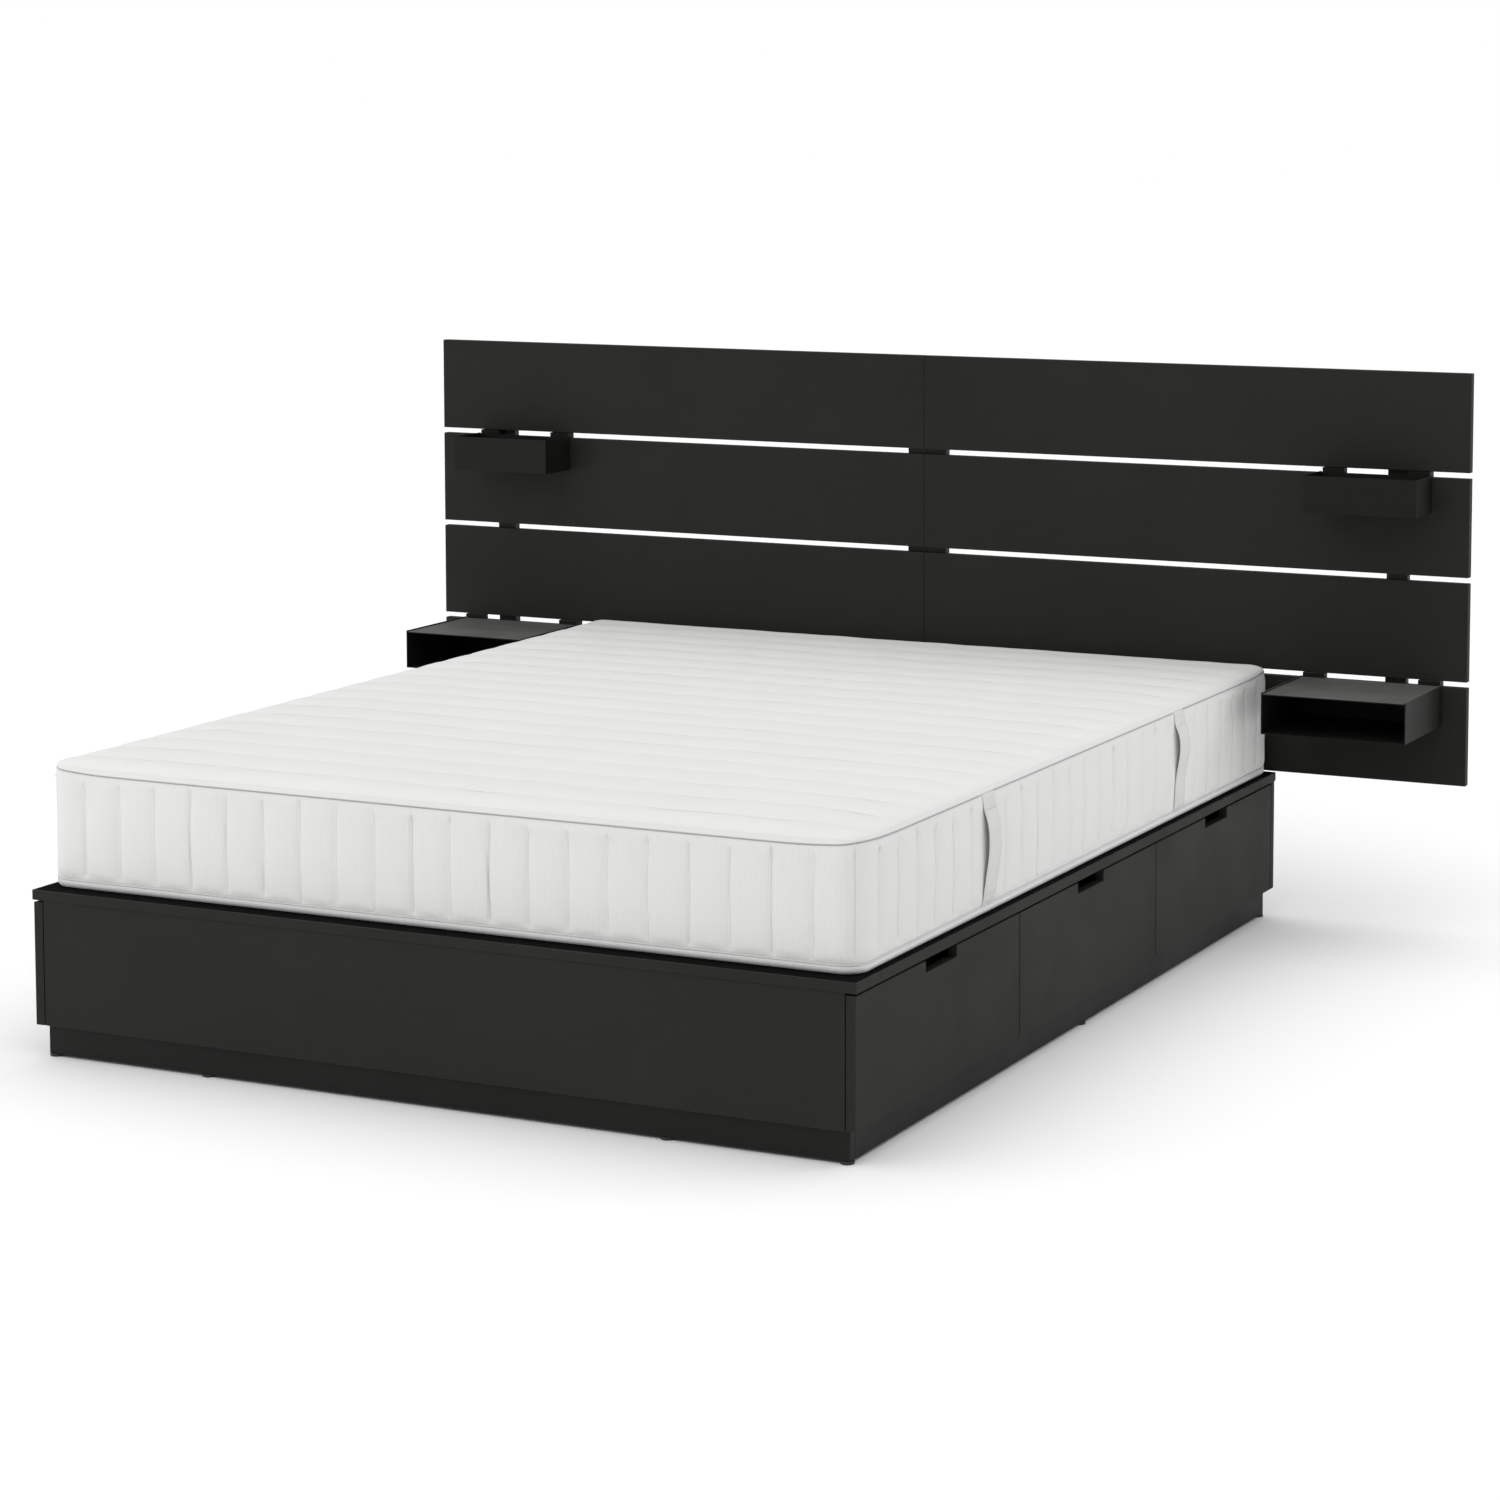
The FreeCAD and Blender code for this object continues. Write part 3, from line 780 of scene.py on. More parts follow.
class PartRows(GeometryTree):
    """Copies of one part, on points or at a pitch along lines, turned to face outwards."""

    def __init__(self, way: Way) -> None:
        """Build the tree.

        Args:
            way: Whether parts go on points or at a pitch along lines.
        """
        super().__init__(f"part_rows_{way.name.lower()}")
        part = self.size("Part", "Object")
        scale = self.size("Scale")
        spread = self.size("Turn spread")
        seed = self.size("Seed", "Int")
        start = self.source.outputs["Geometry"]
        if way is Way.SEWN:
            curve = self.add("GeometryNodeMeshToCurve", {0: start}).outputs[0]
            laid = self.add("GeometryNodeResampleCurve", {0: curve, "Length": self.size("Pitch")},
                            mode="LENGTH")
            start = laid.outputs[0]
            along = self.add("GeometryNodeInputTangent").outputs[0]
        else:
            along = self.attribute("along")
        turn = self.add("FunctionNodeAxesToRotation",
                        {"Primary Axis": self.attribute("facing"), "Secondary Axis": along},
                        primary_axis="Z", secondary_axis="X").outputs[0]
        least = self.add("ShaderNodeMath", {0: spread, 1: -1.0}, operation="MULTIPLY").outputs[0]
        chance = self.add("FunctionNodeRandomValue", {2: least, 3: spread, "Seed": seed},
                          data_type="FLOAT").outputs[1]
        spin = self.add("ShaderNodeCombineXYZ", {"Z": chance}).outputs[0]
        turned = self.add("FunctionNodeRotateRotation", {"Rotation": turn, "Rotate By": spin},
                          rotation_space="LOCAL").outputs[0]
        shape = self.add("GeometryNodeObjectInfo", {"Object": part}).outputs["Geometry"]
        copies = self.add("GeometryNodeInstanceOnPoints",
                          {"Points": start, "Instance": shape, "Rotation": turned, "Scale": scale})
        self.finish(copies.outputs[0])

    def attribute(self, name: str) -> Socket:
        """Read a vector attribute of the carrier."""
        return self.add("GeometryNodeInputNamedAttribute", {"Name": name},
                        data_type="FLOAT_VECTOR").outputs[0]


class RoundCord(GeometryTree):
    """A round cord that follows the carrier's lines, for piping."""

    def __init__(self) -> None:
        """Build the tree."""
        super().__init__("round_cord")
        radius = self.size("Radius")
        sides = self.size("Sides", "Int")
        curve = self.add("GeometryNodeMeshToCurve", {0: self.source.outputs["Geometry"]}).outputs[0]
        ring = self.add("GeometryNodeCurvePrimitiveCircle", {"Resolution": sides, "Radius": radius})
        tube = self.add("GeometryNodeCurveToMesh", {"Curve": curve, "Profile Curve": ring.outputs[0],
                                                    "Fill Caps": True}).outputs[0]
        self.finish(self.add("GeometryNodeSetShadeSmooth", {0: tube}).outputs[0])


class Workshop:
    """The shared trees and the small parts that they repeat."""

    def __init__(self, paint: Paintbox) -> None:
        """Build the trees.

        Args:
            paint: Where materials come from.
        """
        self.paint = paint
        self.placed = PartRows(Way.PLACED)
        self.sewn = PartRows(Way.SEWN)
        self.cord = RoundCord()

    def template(self, name: str, points: Sequence[Vector], faces: Sequence[Sequence[int]],
                 smooth: bool = False) -> Piece:
        """Make the part that a tree copies, with outward faces.

        Args:
            name: Name of the part.
            points: Its points.
            faces: Its faces.
            smooth: Whether its faces are shaded smooth.

        Returns:
            The part, which is removed after use.
        """
        piece = make_piece(name, np.array([tuple(p) for p in points]), faces, self.paint.get("screw_steel"),
                           smooth)
        shape = bmesh.new()
        shape.from_mesh(piece.data)
        bmesh.ops.remove_doubles(shape, verts=shape.verts, dist=0.001 * MM)
        bmesh.ops.recalc_face_normals(shape, faces=shape.faces)
        shape.to_mesh(piece.data)
        shape.free()
        return piece

    def screw(self, radius: float, length: float, head: float, height: float, flat: bool) -> Piece:
        """A screw with a cross recess, its head's top at z = 0 and its shank below.

        Args:
            radius: Radius of the shank.
            length: Length from the top of the head to the tip.
            head: Radius of the head.
            height: Height of the head.
            flat: Whether the head is countersunk, and not a round pan head.

        Returns:
            The part.
        """
        profile: list[tuple[float, float]] = [(0.15 * radius, -length), (0.7 * radius, -length + 2.2 * radius)]
        steps = max(3, int((length - height) / (1.6 * radius)))
        top = -height if flat else 0.0
        for k in range(steps):
            low = -length + 2.2 * radius + (length + top - 2.4 * radius) * k / steps
            profile += [(0.72 * radius, low + 0.1 * radius), (radius, low + 0.4 * radius)]
        profile.append((0.8 * radius, top - 0.02 * MM))
        if flat:
            profile += [(head, -0.1 * height), (head * 0.98, 0.0)]
        else:
            profile += [(head, 0.0), (head, 0.3 * height), (0.8 * head, 0.8 * height), (0.5 * head, height)]
        rim = profile[-1][1]
        profile.append((0.62 * head if flat else 0.48 * head, rim))
        points, faces = lathe(profile, 16)
        faces.pop()
        first = len(points) - 16
        floor = len(points)
        for k in range(16):
            turn = math.tau * k / 16
            reach = (0.56 if k % 4 == 0 else 0.16) * head * (1.0 if flat else 0.8)
            points.append(Vector((reach * math.cos(turn), reach * math.sin(turn), rim)))
        deep = len(points)
        for k in range(16):
            turn = math.tau * k / 16
            reach = (0.40 if k % 4 == 0 else 0.13) * head * (1.0 if flat else 0.8)
            points.append(Vector((reach * math.cos(turn), reach * math.sin(turn), rim - 0.55 * head)))
        for ring, nextring in ((first, floor), (floor, deep)):
            for k in range(16):
                j = (k + 1) % 16
                faces.append([ring + k, ring + j, nextring + j, nextring + k])
        faces.append([deep + k for k in range(16)])
        return self.template("screw", points, faces)

    def rows(self, name: str, part: Piece, places: Sequence[Vector], facing: Vector, along: Vector,
             finish: str, seed: int = 1, spread: float = math.pi) -> Piece:
        """Put a copy of a part on every place.

        Args:
            name: Name of the finished piece.
            part: The part, which is removed.
            places: Where copies go.
            facing: Direction of the part's own Z axis.
            along: Direction of the part's own X axis.
            finish: Name of its finish.
            seed: Seed of the random turns.
            spread: Largest random turn, in radians.

        Returns:
            The finished piece.
        """
        mesh = bpy.data.meshes.new(name)
        mesh.from_pydata([tuple(p) for p in places], [], [])
        for key, way in (("facing", facing), ("along", along)):
            mesh.attributes.new(key, "FLOAT_VECTOR", "POINT").data.foreach_set(
                "vector", list(way) * len(places))
        carrier = bpy.data.objects.new(name, mesh)
        bpy.context.scene.collection.objects.link(carrier)
        piece = self.placed.run(name, carrier, {"Part": part, "Scale": 1.0, "Turn spread": spread,
                                                "Seed": seed, "Finish": self.paint.get(finish)})
        bpy.data.objects.remove(part)
        return piece

    def stitches(self, name: str, lines: Sequence[np.ndarray], facings: Sequence[np.ndarray], pitch: float,
                 length: float, width: float, finish: str = "mattress_thread", seed: int = 3) -> Piece:
        """Sew a row of stitches along every line.

        Args:
            name: Name of the finished piece.
            lines: Points of each line.
            facings: Outward direction at each point.
            pitch: From one stitch to the next.
            length: Length of a stitch.
            width: Width of the thread.
            finish: Name of its finish.
            seed: Seed of the small random turns.

        Returns:
            The finished piece.
        """
        half, thick = length / 2, width / 2
        rings = [(-half, 0.35), (-0.6 * half, 1.0), (0.6 * half, 1.0), (half, 0.35)]
        points = [Vector((x, share * thick * math.cos(math.tau * k / 4), share * thick * math.sin(math.tau * k / 4)))
                  for x, share in rings for k in range(4)]
        faces = [[4 * r + k, 4 * r + (k + 1) % 4, 4 * r + 4 + (k + 1) % 4, 4 * r + 4 + k]
                 for r in range(3) for k in range(4)]
        faces += [[0, 1, 2, 3], [15, 14, 13, 12]]
        part = self.template("stitch", points, faces, True)
        piece = self.sewn.run(name, line_object(name, lines, facings),
                              {"Part": part, "Scale": 1.0, "Turn spread": 0.10, "Seed": seed, "Pitch": pitch,
                               "Finish": self.paint.get(finish)})
        bpy.data.objects.remove(part)
        return piece


def keep(piece: Piece, body: str, slot: str, *replaced: str) -> Piece:
    """Hide the CAD nodes that a finished piece stands for, and attach it to its body.

    Args:
        piece: The piece.
        body: CAD body that it moves with.
        slot: Not used.
        replaced: CAD nodes that it stands for.

    Returns:
        The same piece.
    """
    if replaced:
        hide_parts(*replaced)
    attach(piece, body)
    log.info("%s: %d faces on %s", piece.name, len(piece.data.polygons), body)
    return piece


# ---------------------------------------------------------------- base, drawers, headboard, steel

@dataclass
class Carcass:
    """Boards of the base with its glides, its slats and the tapes that hold them."""

    shop: Workshop
    glide_lip: float = 1.2 * MM
    glide_sides: int = 40
    tape_width: float = 18 * MM
    tape_thickness: float = 0.4 * MM
    tape_from_middle: tuple[float, ...] = (0.30, 0.62)
    # Sizes of the near-black sheet that stands in for the shadow under the mattress's edge.
    strip_margin: float = 2.5 * MM
    strip_width: float = 60 * MM
    strip_thickness: float = 0.4 * MM
    strip_corner: float = 6 * MM
    finishes: dict[str, str] = field(default_factory=lambda: {
        "foot_panel": "board_black", "head_panel": "board_black", "rim_foot": "board_black",
        "rim_head": "board_black", "rim_left": "board_black_upright", "rim_right": "board_black_upright",
        "plinth_foot": "plinth_black", "plinth_head": "plinth_black", "plinth_left": "plinth_black",
        "plinth_right": "plinth_black", "plinth_middle": "plinth_black", "centre_spine": "carcass_board",
        "divider_left_1": "carcass_board", "divider_left_2": "carcass_board",
        "divider_right_1": "carcass_board", "divider_right_2": "carcass_board",
        "head_liners": "carcass_board", "side_beam_left": "beam_black", "side_beam_right": "beam_black",
        "slats": "slat_wood", "drawer_channels": "slide_steel"})

    def dress(self) -> None:
        """Put the finishes on the boards, slats and channels."""
        for node, name in self.finishes.items():
            self.shop.paint.dress(node, name)

    def glides(self) -> None:
        """Turned plastic glides with a rounded foot and a nail in the middle."""
        boxes = islands("glides")
        low, high = boxes[0]
        radius, height = (high.x - low.x) / 2, high.z - low.z
        lip = self.glide_lip
        profile = [(0.30 * radius, 0.9 * MM), (0.36 * radius, 0.0), (radius - lip, 0.0),
                   (radius - 0.3 * lip, 0.3 * lip), (radius, lip), (radius, height - 0.8 * MM),
                   (0.94 * radius, height)]
        points, faces = lathe(profile, self.glide_sides)
        part = self.shop.template("glide", points, faces)
        middles = [Vector(((a.x + b.x) / 2, (a.y + b.y) / 2, a.z)) for a, b in boxes]
        piece = self.shop.rows("floor_glides", part, middles, Vector((0, 0, 1)), Vector((1, 0, 0)),
                               "glide_plastic")
        keep(piece, "base", "glide_plastic", "glides")

    def strip(self) -> None:
        """A thin near-black sheet on the rim boards round the mattress: painted shade, standing in for the shadow
        under the mattress's edge.
        """
        low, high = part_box("rim_foot")
        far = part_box("rim_head")[1]
        half_x, near_y, top = (high.x - low.x) / 2, low.y, high.z
        middle_x, middle_y, half_y = (high.x + low.x) / 2, (near_y + far.y) / 2, (far.y - near_y) / 2
        section = [(self.strip_margin + 0.6 * MM, 0.02 * MM), (self.strip_margin, 0.16 * MM),
                   (self.strip_margin + 0.5 * MM, self.strip_thickness),
                   (self.strip_margin + self.strip_width, self.strip_thickness),
                   (self.strip_margin + self.strip_width, 0.02 * MM)]
        points: list[tuple[float, float, float]] = []
        faces: list[list[int]] = []
        turns = 12
        for corner in range(4):
            for k in range(turns + 1):
                turn = (corner + k / turns) * math.pi / 2
                sx = (1, -1, -1, 1)[corner]
                sy = (1, 1, -1, -1)[corner]
                for inset, lift in section:
                    radius = self.strip_corner
                    points.append((middle_x + sx * (half_x - inset - radius) + radius * math.cos(turn),
                                   middle_y + sy * (half_y - inset - radius) + radius * math.sin(turn),
                                   top + lift))
        count, rings = len(section), 4 * (turns + 1)
        for r in range(rings):
            n = (r + 1) % rings
            faces += [[r * count + s, n * count + s, n * count + (s + 1) % count, r * count + (s + 1) % count]
                      for s in range(count)]
        piece = make_piece("rim_strip", np.array(points), faces, self.shop.paint.get("shadow_sheet_black"), False)
        keep(piece, "base", "glide_plastic")

    def tapes(self) -> None:
        """Woven tapes stapled along the top of the slats, which keep them apart."""
        slats = islands("slats")
        points: list[tuple[float, float, float]] = []
        faces: list[list[int]] = []
        half = self.tape_width / 2
        for x in [way * d for d in self.tape_from_middle for way in (-1, 1)]:
            path: list[tuple[float, float]] = []
            for low, high in slats:
                top = high.z + 0.05 * MM
                path += [(low.y - 3 * MM, top - 1.2 * MM), (low.y + 4 * MM, top), (high.y - 4 * MM, top),
                         (high.y + 3 * MM, top - 1.2 * MM)]
            first = len(points)
            for y, z in path:
                over = z + self.tape_thickness
                points += [(x - half, y, z), (x + half, y, z), (x + half, y, over), (x - half, y, over)]
            for k in range(len(path) - 1):
                a = first + 4 * k
                faces += [[a + s, a + (s + 1) % 4, a + 4 + (s + 1) % 4, a + 4 + s] for s in range(4)]
            faces += [[first, first + 3, first + 2, first + 1],
                      [first + 4 * len(path) - 4 + s for s in range(4)]]
        piece = make_piece("slat_tapes", np.array(points), faces, self.shop.paint.get("tape_white"), False)
        keep(piece, "base", "slat_wood")


@dataclass
class Drawers:
    """Six drawers: fronts, boxes and slides, with the screws that hold the slides."""

    shop: Workshop
    screw_radius: float = 1.6 * MM
    screw_head: float = 3.1 * MM
    screw_height: float = 1.0 * MM
    screw_shares: tuple[float, ...] = (0.07, 0.5, 0.93)

    def dress(self) -> None:
        """Put the finishes on every drawer."""
        for body in [f"drawer_{side}_{number}" for side in ("left", "right") for number in (1, 2, 3)]:
            self.shop.paint.dress(body + "_front", "board_black_upright")
            self.shop.paint.dress(body + "_box", "drawer_foil")
            self.shop.paint.dress(body + "_slides", "slide_steel")

    def screws(self) -> None:
        """Pan-head screws inside each folded bar and each fixed channel."""
        for body in [f"drawer_{side}_{number}" for side in ("left", "right") for number in (1, 2, 3)]:
            self.screw_rows(body + "_slide_screws", islands(body + "_slides"), body, False)
        self.screw_rows("channel_screws", islands("drawer_channels"), "base", True)

    def screw_rows(self, name: str, bars: Sequence[Box], body: str, fixed: bool) -> None:
        """Screw every bar to the wall that it lies on.

        Args:
            name: Name of the piece, without the way it faces.
            bars: Boxes of the bars or channels.
            body: CAD body that they belong to.
            fixed: Whether these are channels, which open towards the drawer.
        """
        sheet = 1.5 * MM
        middles = sorted({round((low.y + high.y) / 2, 4) for low, high in bars})
        for way, label in ((1, "near"), (-1, "far")):
            places: list[Vector] = []
            for low, high in bars:
                rank = middles.index(round((low.y + high.y) / 2, 4))
                near = rank % 2 == 0
                towards = 1 if near == fixed else -1
                if towards != way:
                    continue
                face = (low.y + sheet) if way > 0 else (high.y - sheet)
                places += [Vector((low.x + share * (high.x - low.x), face + way * 0.02 * MM, (low.z + high.z) / 2))
                           for share in self.screw_shares]
            part = self.shop.screw(self.screw_radius, 9 * MM, self.screw_head, self.screw_height, False)
            piece = self.shop.rows(f"{name}_{label}", part, places, Vector((0, way, 0)), Vector((1, 0, 0)),
                                   "screw_steel", seed=7)
            keep(piece, body, "screw_steel")


@dataclass
class Headboard:
    """Panels on upright rails, with countersunk screws and socket bolts at the back."""

    shop: Workshop
    screw_radius: float = 2.0 * MM
    screw_head: float = 4.2 * MM
    bolt_radius: float = 4.0 * MM
    bolt_head: float = 6.5 * MM
    socket: float = 3.0 * MM

    def dress(self) -> None:
        """Put the finishes on the panels, rails and spacers."""
        for side in ("left", "right"):
            for row in (1, 2, 3, 4):
                self.shop.paint.dress(f"headboard_panel_{side}_{row}", "board_black")
            for place in ("outer", "inner"):
                self.shop.paint.dress(f"headboard_rail_{side}_{place}", "rail_black")
        self.shop.paint.dress("headboard_spacers", "rail_black")

    def screws(self) -> None:
        """Countersunk screws with cross recesses, in place of the plain ones."""
        boxes = islands("headboard_screws")
        low, high = boxes[0]
        part = self.shop.screw(self.screw_radius, high.y - low.y, self.screw_head, 2.4 * MM, True)
        places = [Vector(((a.x + b.x) / 2, b.y, (a.z + b.z) / 2)) for a, b in boxes]
        piece = self.shop.rows("headboard_screw_set", part, places, Vector((0, 1, 0)), Vector((1, 0, 0)),
                               "screw_steel", seed=11)
        keep(piece, "base", "screw_steel", "headboard_screws")

    def bolts(self) -> None:
        """Socket-head bolts, in place of the plain ones."""
        boxes = islands("headboard_bolts")
        low, high = boxes[0]
        length = high.y - low.y
        radius, head = self.bolt_radius, self.bolt_head
        profile = [(0.7 * radius, -length), (radius, -length + 0.8 * MM)]
        for k in range(12):
            step = -length + 1.2 * MM + 1.25 * MM * k
            profile += [(0.88 * radius, step), (radius, step + 0.6 * MM)]
        profile += [(radius, -5.0 * MM), (head, -5.0 * MM), (head, -0.5 * MM), (head - 0.5 * MM, 0.0),
                    (self.socket + 0.3 * MM, 0.0)]
        sides = 24
        points, faces = lathe(profile, sides)
        faces.pop()
        first = len(points) - sides
        for depth in (0.0, -3.6 * MM):
            for k in range(sides):
                turn = math.tau * k / sides
                flat = self.socket * math.cos(math.pi / 6) / math.cos((turn % (math.pi / 3)) - math.pi / 6)
                points.append(Vector((flat * math.cos(turn), flat * math.sin(turn), depth)))
        for ring in (first, first + sides):
            for k in range(sides):
                j = (k + 1) % sides
                faces.append([ring + k, ring + j, ring + sides + j, ring + sides + k])
        faces.append([first + 2 * sides + k for k in range(sides)])
        part = self.shop.template("bolt", points, faces)
        places = [Vector(((a.x + b.x) / 2, b.y, (a.z + b.z) / 2)) for a, b in boxes]
        piece = self.shop.rows("headboard_bolt_set", part, places, Vector((0, 1, 0)), Vector((1, 0, 0)),
                               "screw_steel", seed=5)
        keep(piece, "base", "screw_steel", "headboard_bolts")


@dataclass
class HangingSteel:
    """The two shelves and the two small boxes that hang on the headboard."""

    shop: Workshop

    plate_reach: float = 200 * MM

    def dress(self) -> None:
        """Put the powder coat on all four, with a paler painted sheen on the top faces of the shelves."""
        plates = [box for box in islands("bedside_shelf_right")
                  if min(box[1].x - box[0].x, box[1].y - box[0].y) > self.plate_reach]
        top = max(high.z for _, high in plates)
        # The painted sheen starts 3 mm below the top of the shelf's top plates.
        self.shop.paint.mix("shelf_steel", PowderCoat((0.0085, 0.0087, 0.0075), rough=0.55,
                                                      painted_sheen_above=top - 3 * MM))
        for side in ("left", "right"):
            self.shop.paint.dress(f"bedside_shelf_{side}", "shelf_steel")
            self.shop.paint.dress(f"upper_box_{side}", "sheet_black")


# ---------------------------------------------------------------- mattress

def ripple(x: np.ndarray, y: np.ndarray, size: float, seed: int) -> np.ndarray:
    """Smooth, repeatable unevenness between about -1 and 1.

    Args:
        x: First coordinates, in metres.
        y: Second coordinates, in metres.
        size: Typical size of a bump, in metres.
        seed: Which pattern.

    Returns:
        The unevenness at each point.
    """
    chance = np.random.default_rng(seed)
    total = np.zeros(np.broadcast(x, y).shape)
    for _ in range(7):
        turn, phase = chance.uniform(0, math.tau, 2)
        pace = math.tau / (size * chance.uniform(0.8, 2.2))
        total += np.sin(pace * (x * math.cos(turn) + y * math.sin(turn)) + phase)
    return total / 3.2


def ease(value: np.ndarray, low: float, high: float) -> np.ndarray:
    """Go smoothly from 0 at low to 1 at high."""
    share = np.clip((value - low) / (high - low), 0, 1)
    return share * share * (3 - 2 * share)


@dataclass
class Mattress:
    """The quilted mattress: a padded cover, piping in both seams, four handles and its stitches."""

    shop: Workshop
    corner: float = 45 * MM
    channels_short: int = 21
    channels_long: int = 27
    channel_pitch: float = 73.3 * MM
    channel_depth: float = 5.0 * MM
    channel_flank: float = 8.5 * MM
    plain_top: float = 9 * MM
    plain_bottom: float = 4 * MM
    border_rows: int = 26
    quilt_pitch: float = 101.7 * MM
    quilt_first: float = 88 * MM
    quilt_depth: float = 4.2 * MM
    quilt_width: float = 24 * MM
    stitch_depth: float = 1.4 * MM
    stitch_width: float = 7 * MM
    seam_drop_foot: float = 20 * MM
    seam_drop_side: float = 16 * MM
    corner_lift: float = 6 * MM
    corner_reach: float = 75 * MM
    seam_lift: float = 16 * MM
    crown_edge: float = 3.5 * MM
    crown: float = 5 * MM
    piping_radius: float = 1.5 * MM
    voxel: float = 24 * MM
    swell_cap: float = 12 * MM
    pressure: float = 0.04
    stiffness: float = 18.0
    frames: int = 20
    swell_limit: float = 8 * MM
    swell_share: float = 0.35
    start_in: float = 4 * MM
    start_under: float = 4 * MM
    handle_width: float = 52 * MM
    handle_offsets: tuple[float, ...] = (-0.476, 0.451)
    handle_bow: float = 10 * MM
    handle_free: float = 0.86

    SPREAD = np.array([0, 0.035, 0.10, 0.20, 0.35, 0.50, 0.65, 0.80, 0.90, 0.965])

    def __post_init__(self) -> None:
        """Take the sizes from the CAD node."""
        self.low, self.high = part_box("mattress")
        self.middle = (self.low + self.high) / 2
        self.half = (self.high - self.low) / 2
        self.swollen: Optional[BVHTree] = None

    # ---- outline ----

    def side_points(self, side: int, share: np.ndarray) -> tuple[np.ndarray, np.ndarray, np.ndarray]:
        """Walk along one side, from the middle of one corner to the middle of the next.

        Args:
            side: 0 foot, 1 right, 2 head, 3 left.
            share: How far along, from 0 to 1.

        Returns:
            Points in plan, outward directions, and distance walked.
        """
        long_side = side % 2 == 1
        half_along = self.half.y if long_side else self.half.x
        half_out = self.half.x if long_side else self.half.y
        flat, arc = 2 * (half_along - self.corner), self.corner * math.pi / 4
        walked = share * (flat + 2 * arc)
        turn = np.where(walked < arc, -math.pi / 4 + walked / self.corner,
                        np.where(walked > arc + flat, (walked - arc - flat) / self.corner, 0.0))
        along = np.clip(walked - arc, 0, flat) - flat / 2 + self.corner * np.sin(turn)
        out = half_out - self.corner + self.corner * np.cos(turn)
        ahead = np.array([(1, 0), (0, 1), (-1, 0), (0, -1)][side], float)
        outward = np.array([(0, -1), (1, 0), (0, 1), (-1, 0)][side], float)
        centre = np.array([self.middle.x, self.middle.y])
        points = centre + np.outer(along, ahead) + np.outer(out, outward)
        facing = np.outer(np.sin(turn), ahead) + np.outer(np.cos(turn), outward)
        return points, facing, walked

    def stations(self, channels: int, even: bool = False) -> np.ndarray:
        """Places of the columns of vertices along a side, closer together near each sewn line.

        Args:
            channels: How many channels the side has.
            even: Whether the columns are evenly spaced instead.

        Returns:
            Shares of the side's length, from 0 to 1.
        """
        count = channels * len(self.SPREAD)
        if even:
            return np.linspace(0, 1, count + 1)
        steps = (np.arange(channels)[:, None] + self.SPREAD[None, :]).ravel() / channels
        return np.append(steps, 1.0)

    def seam_height(self, x: np.ndarray, y: np.ndarray, share: np.ndarray) -> np.ndarray:
        """Height of the top seam, which is pulled up a little at the four corners.

        Args:
            x: Across the bed.
            y: Along the bed.
            share: 1 along the sides and 0 at the foot and the head.

        Returns:
            Heights in metres.
        """
        away = np.hypot(self.half.x - np.abs(x - self.middle.x), self.half.y - np.abs(y - self.middle.y))
        lift = self.corner_lift * np.exp(-(away / self.corner_reach) ** 2)
        return self.high.z - self.seam_drop_foot * (1 - share) - self.seam_drop_side * share + lift

    # ---- cloth ----

    def simulate(self) -> None:
        """Blow up a slightly smaller closed cover and keep its surface, to shape the padding by."""
        plan = [(sx * (self.half.x - self.start_in), sy * (self.half.y - self.start_in))
                for sx in (-1, 1) for sy in (-1, 1)]
        shape = bmesh.new()
        for x, y in plan:
            for z in (self.low.z + 4 * MM, self.high.z - self.start_under):
                shape.verts.new((self.middle.x + x, self.middle.y + y, z))
        bmesh.ops.convex_hull(shape, input=shape.verts)
        uprights = [e for e in shape.edges if abs((e.verts[0].co - e.verts[1].co).z) > 0.1
                    and (e.verts[0].co - e.verts[1].co).xy.length < 0.01]
        bmesh.ops.bevel(shape, geom=uprights, offset=self.corner, segments=6, affect="EDGES", profile=0.5)
        mesh = bpy.data.meshes.new("swelling_cover")
        shape.to_mesh(mesh)
        shape.free()
        cover = bpy.data.objects.new("swelling_cover", mesh)
        bpy.context.scene.collection.objects.link(cover)
        remesh = cover.modifiers.new("remesh", "REMESH")
        remesh.mode, remesh.voxel_size = "VOXEL", self.voxel
        graph = bpy.context.evaluated_depsgraph_get()
        even = bpy.data.meshes.new_from_object(cover.evaluated_get(graph), depsgraph=graph)
        cover.modifiers.clear()
        cover.data = even
        start = np.zeros(len(even.vertices) * 3)
        even.vertices.foreach_get("co", start)
        start = start.reshape(-1, 3)
        held = cover.vertex_groups.new(name="resting")
        held.add([int(k) for k in np.nonzero(start[:, 2] < self.low.z + 0.02)[0]], 1.0, "REPLACE")
        cloth = cover.modifiers.new("cloth", "CLOTH")
        cloth.settings.quality = 4
        cloth.settings.mass = 0.4
        cloth.settings.tension_stiffness = cloth.settings.compression_stiffness = self.stiffness
        cloth.settings.use_pressure = True
        cloth.settings.uniform_pressure_force = self.pressure
        cloth.settings.effector_weights.gravity = 0.0
        cloth.settings.vertex_group_mass = "resting"
        scene = bpy.context.scene
        for number in range(1, self.frames + 1):
            scene.frame_set(number)
        graph = bpy.context.evaluated_depsgraph_get()
        final = cover.evaluated_get(graph).data
        end = np.zeros(len(final.vertices) * 3)
        final.vertices.foreach_get("co", end)
        scene.frame_set(1)
        move = end.reshape(-1, 3) - start
        size = np.linalg.norm(move, axis=1, keepdims=True)
        move *= np.minimum(1.0, self.swell_cap / np.maximum(size, 1e-9))
        cover.modifiers.clear()
        cover.data.vertices.foreach_set("co", (start + move).ravel())
        smooth = cover.modifiers.new("settle", "SMOOTH")
        smooth.iterations = 12
        finer = cover.modifiers.new("finer", "SUBSURF")
        finer.levels = finer.render_levels = 1
        graph = bpy.context.evaluated_depsgraph_get()
        self.swollen = BVHTree.FromObject(cover.evaluated_get(graph), graph)
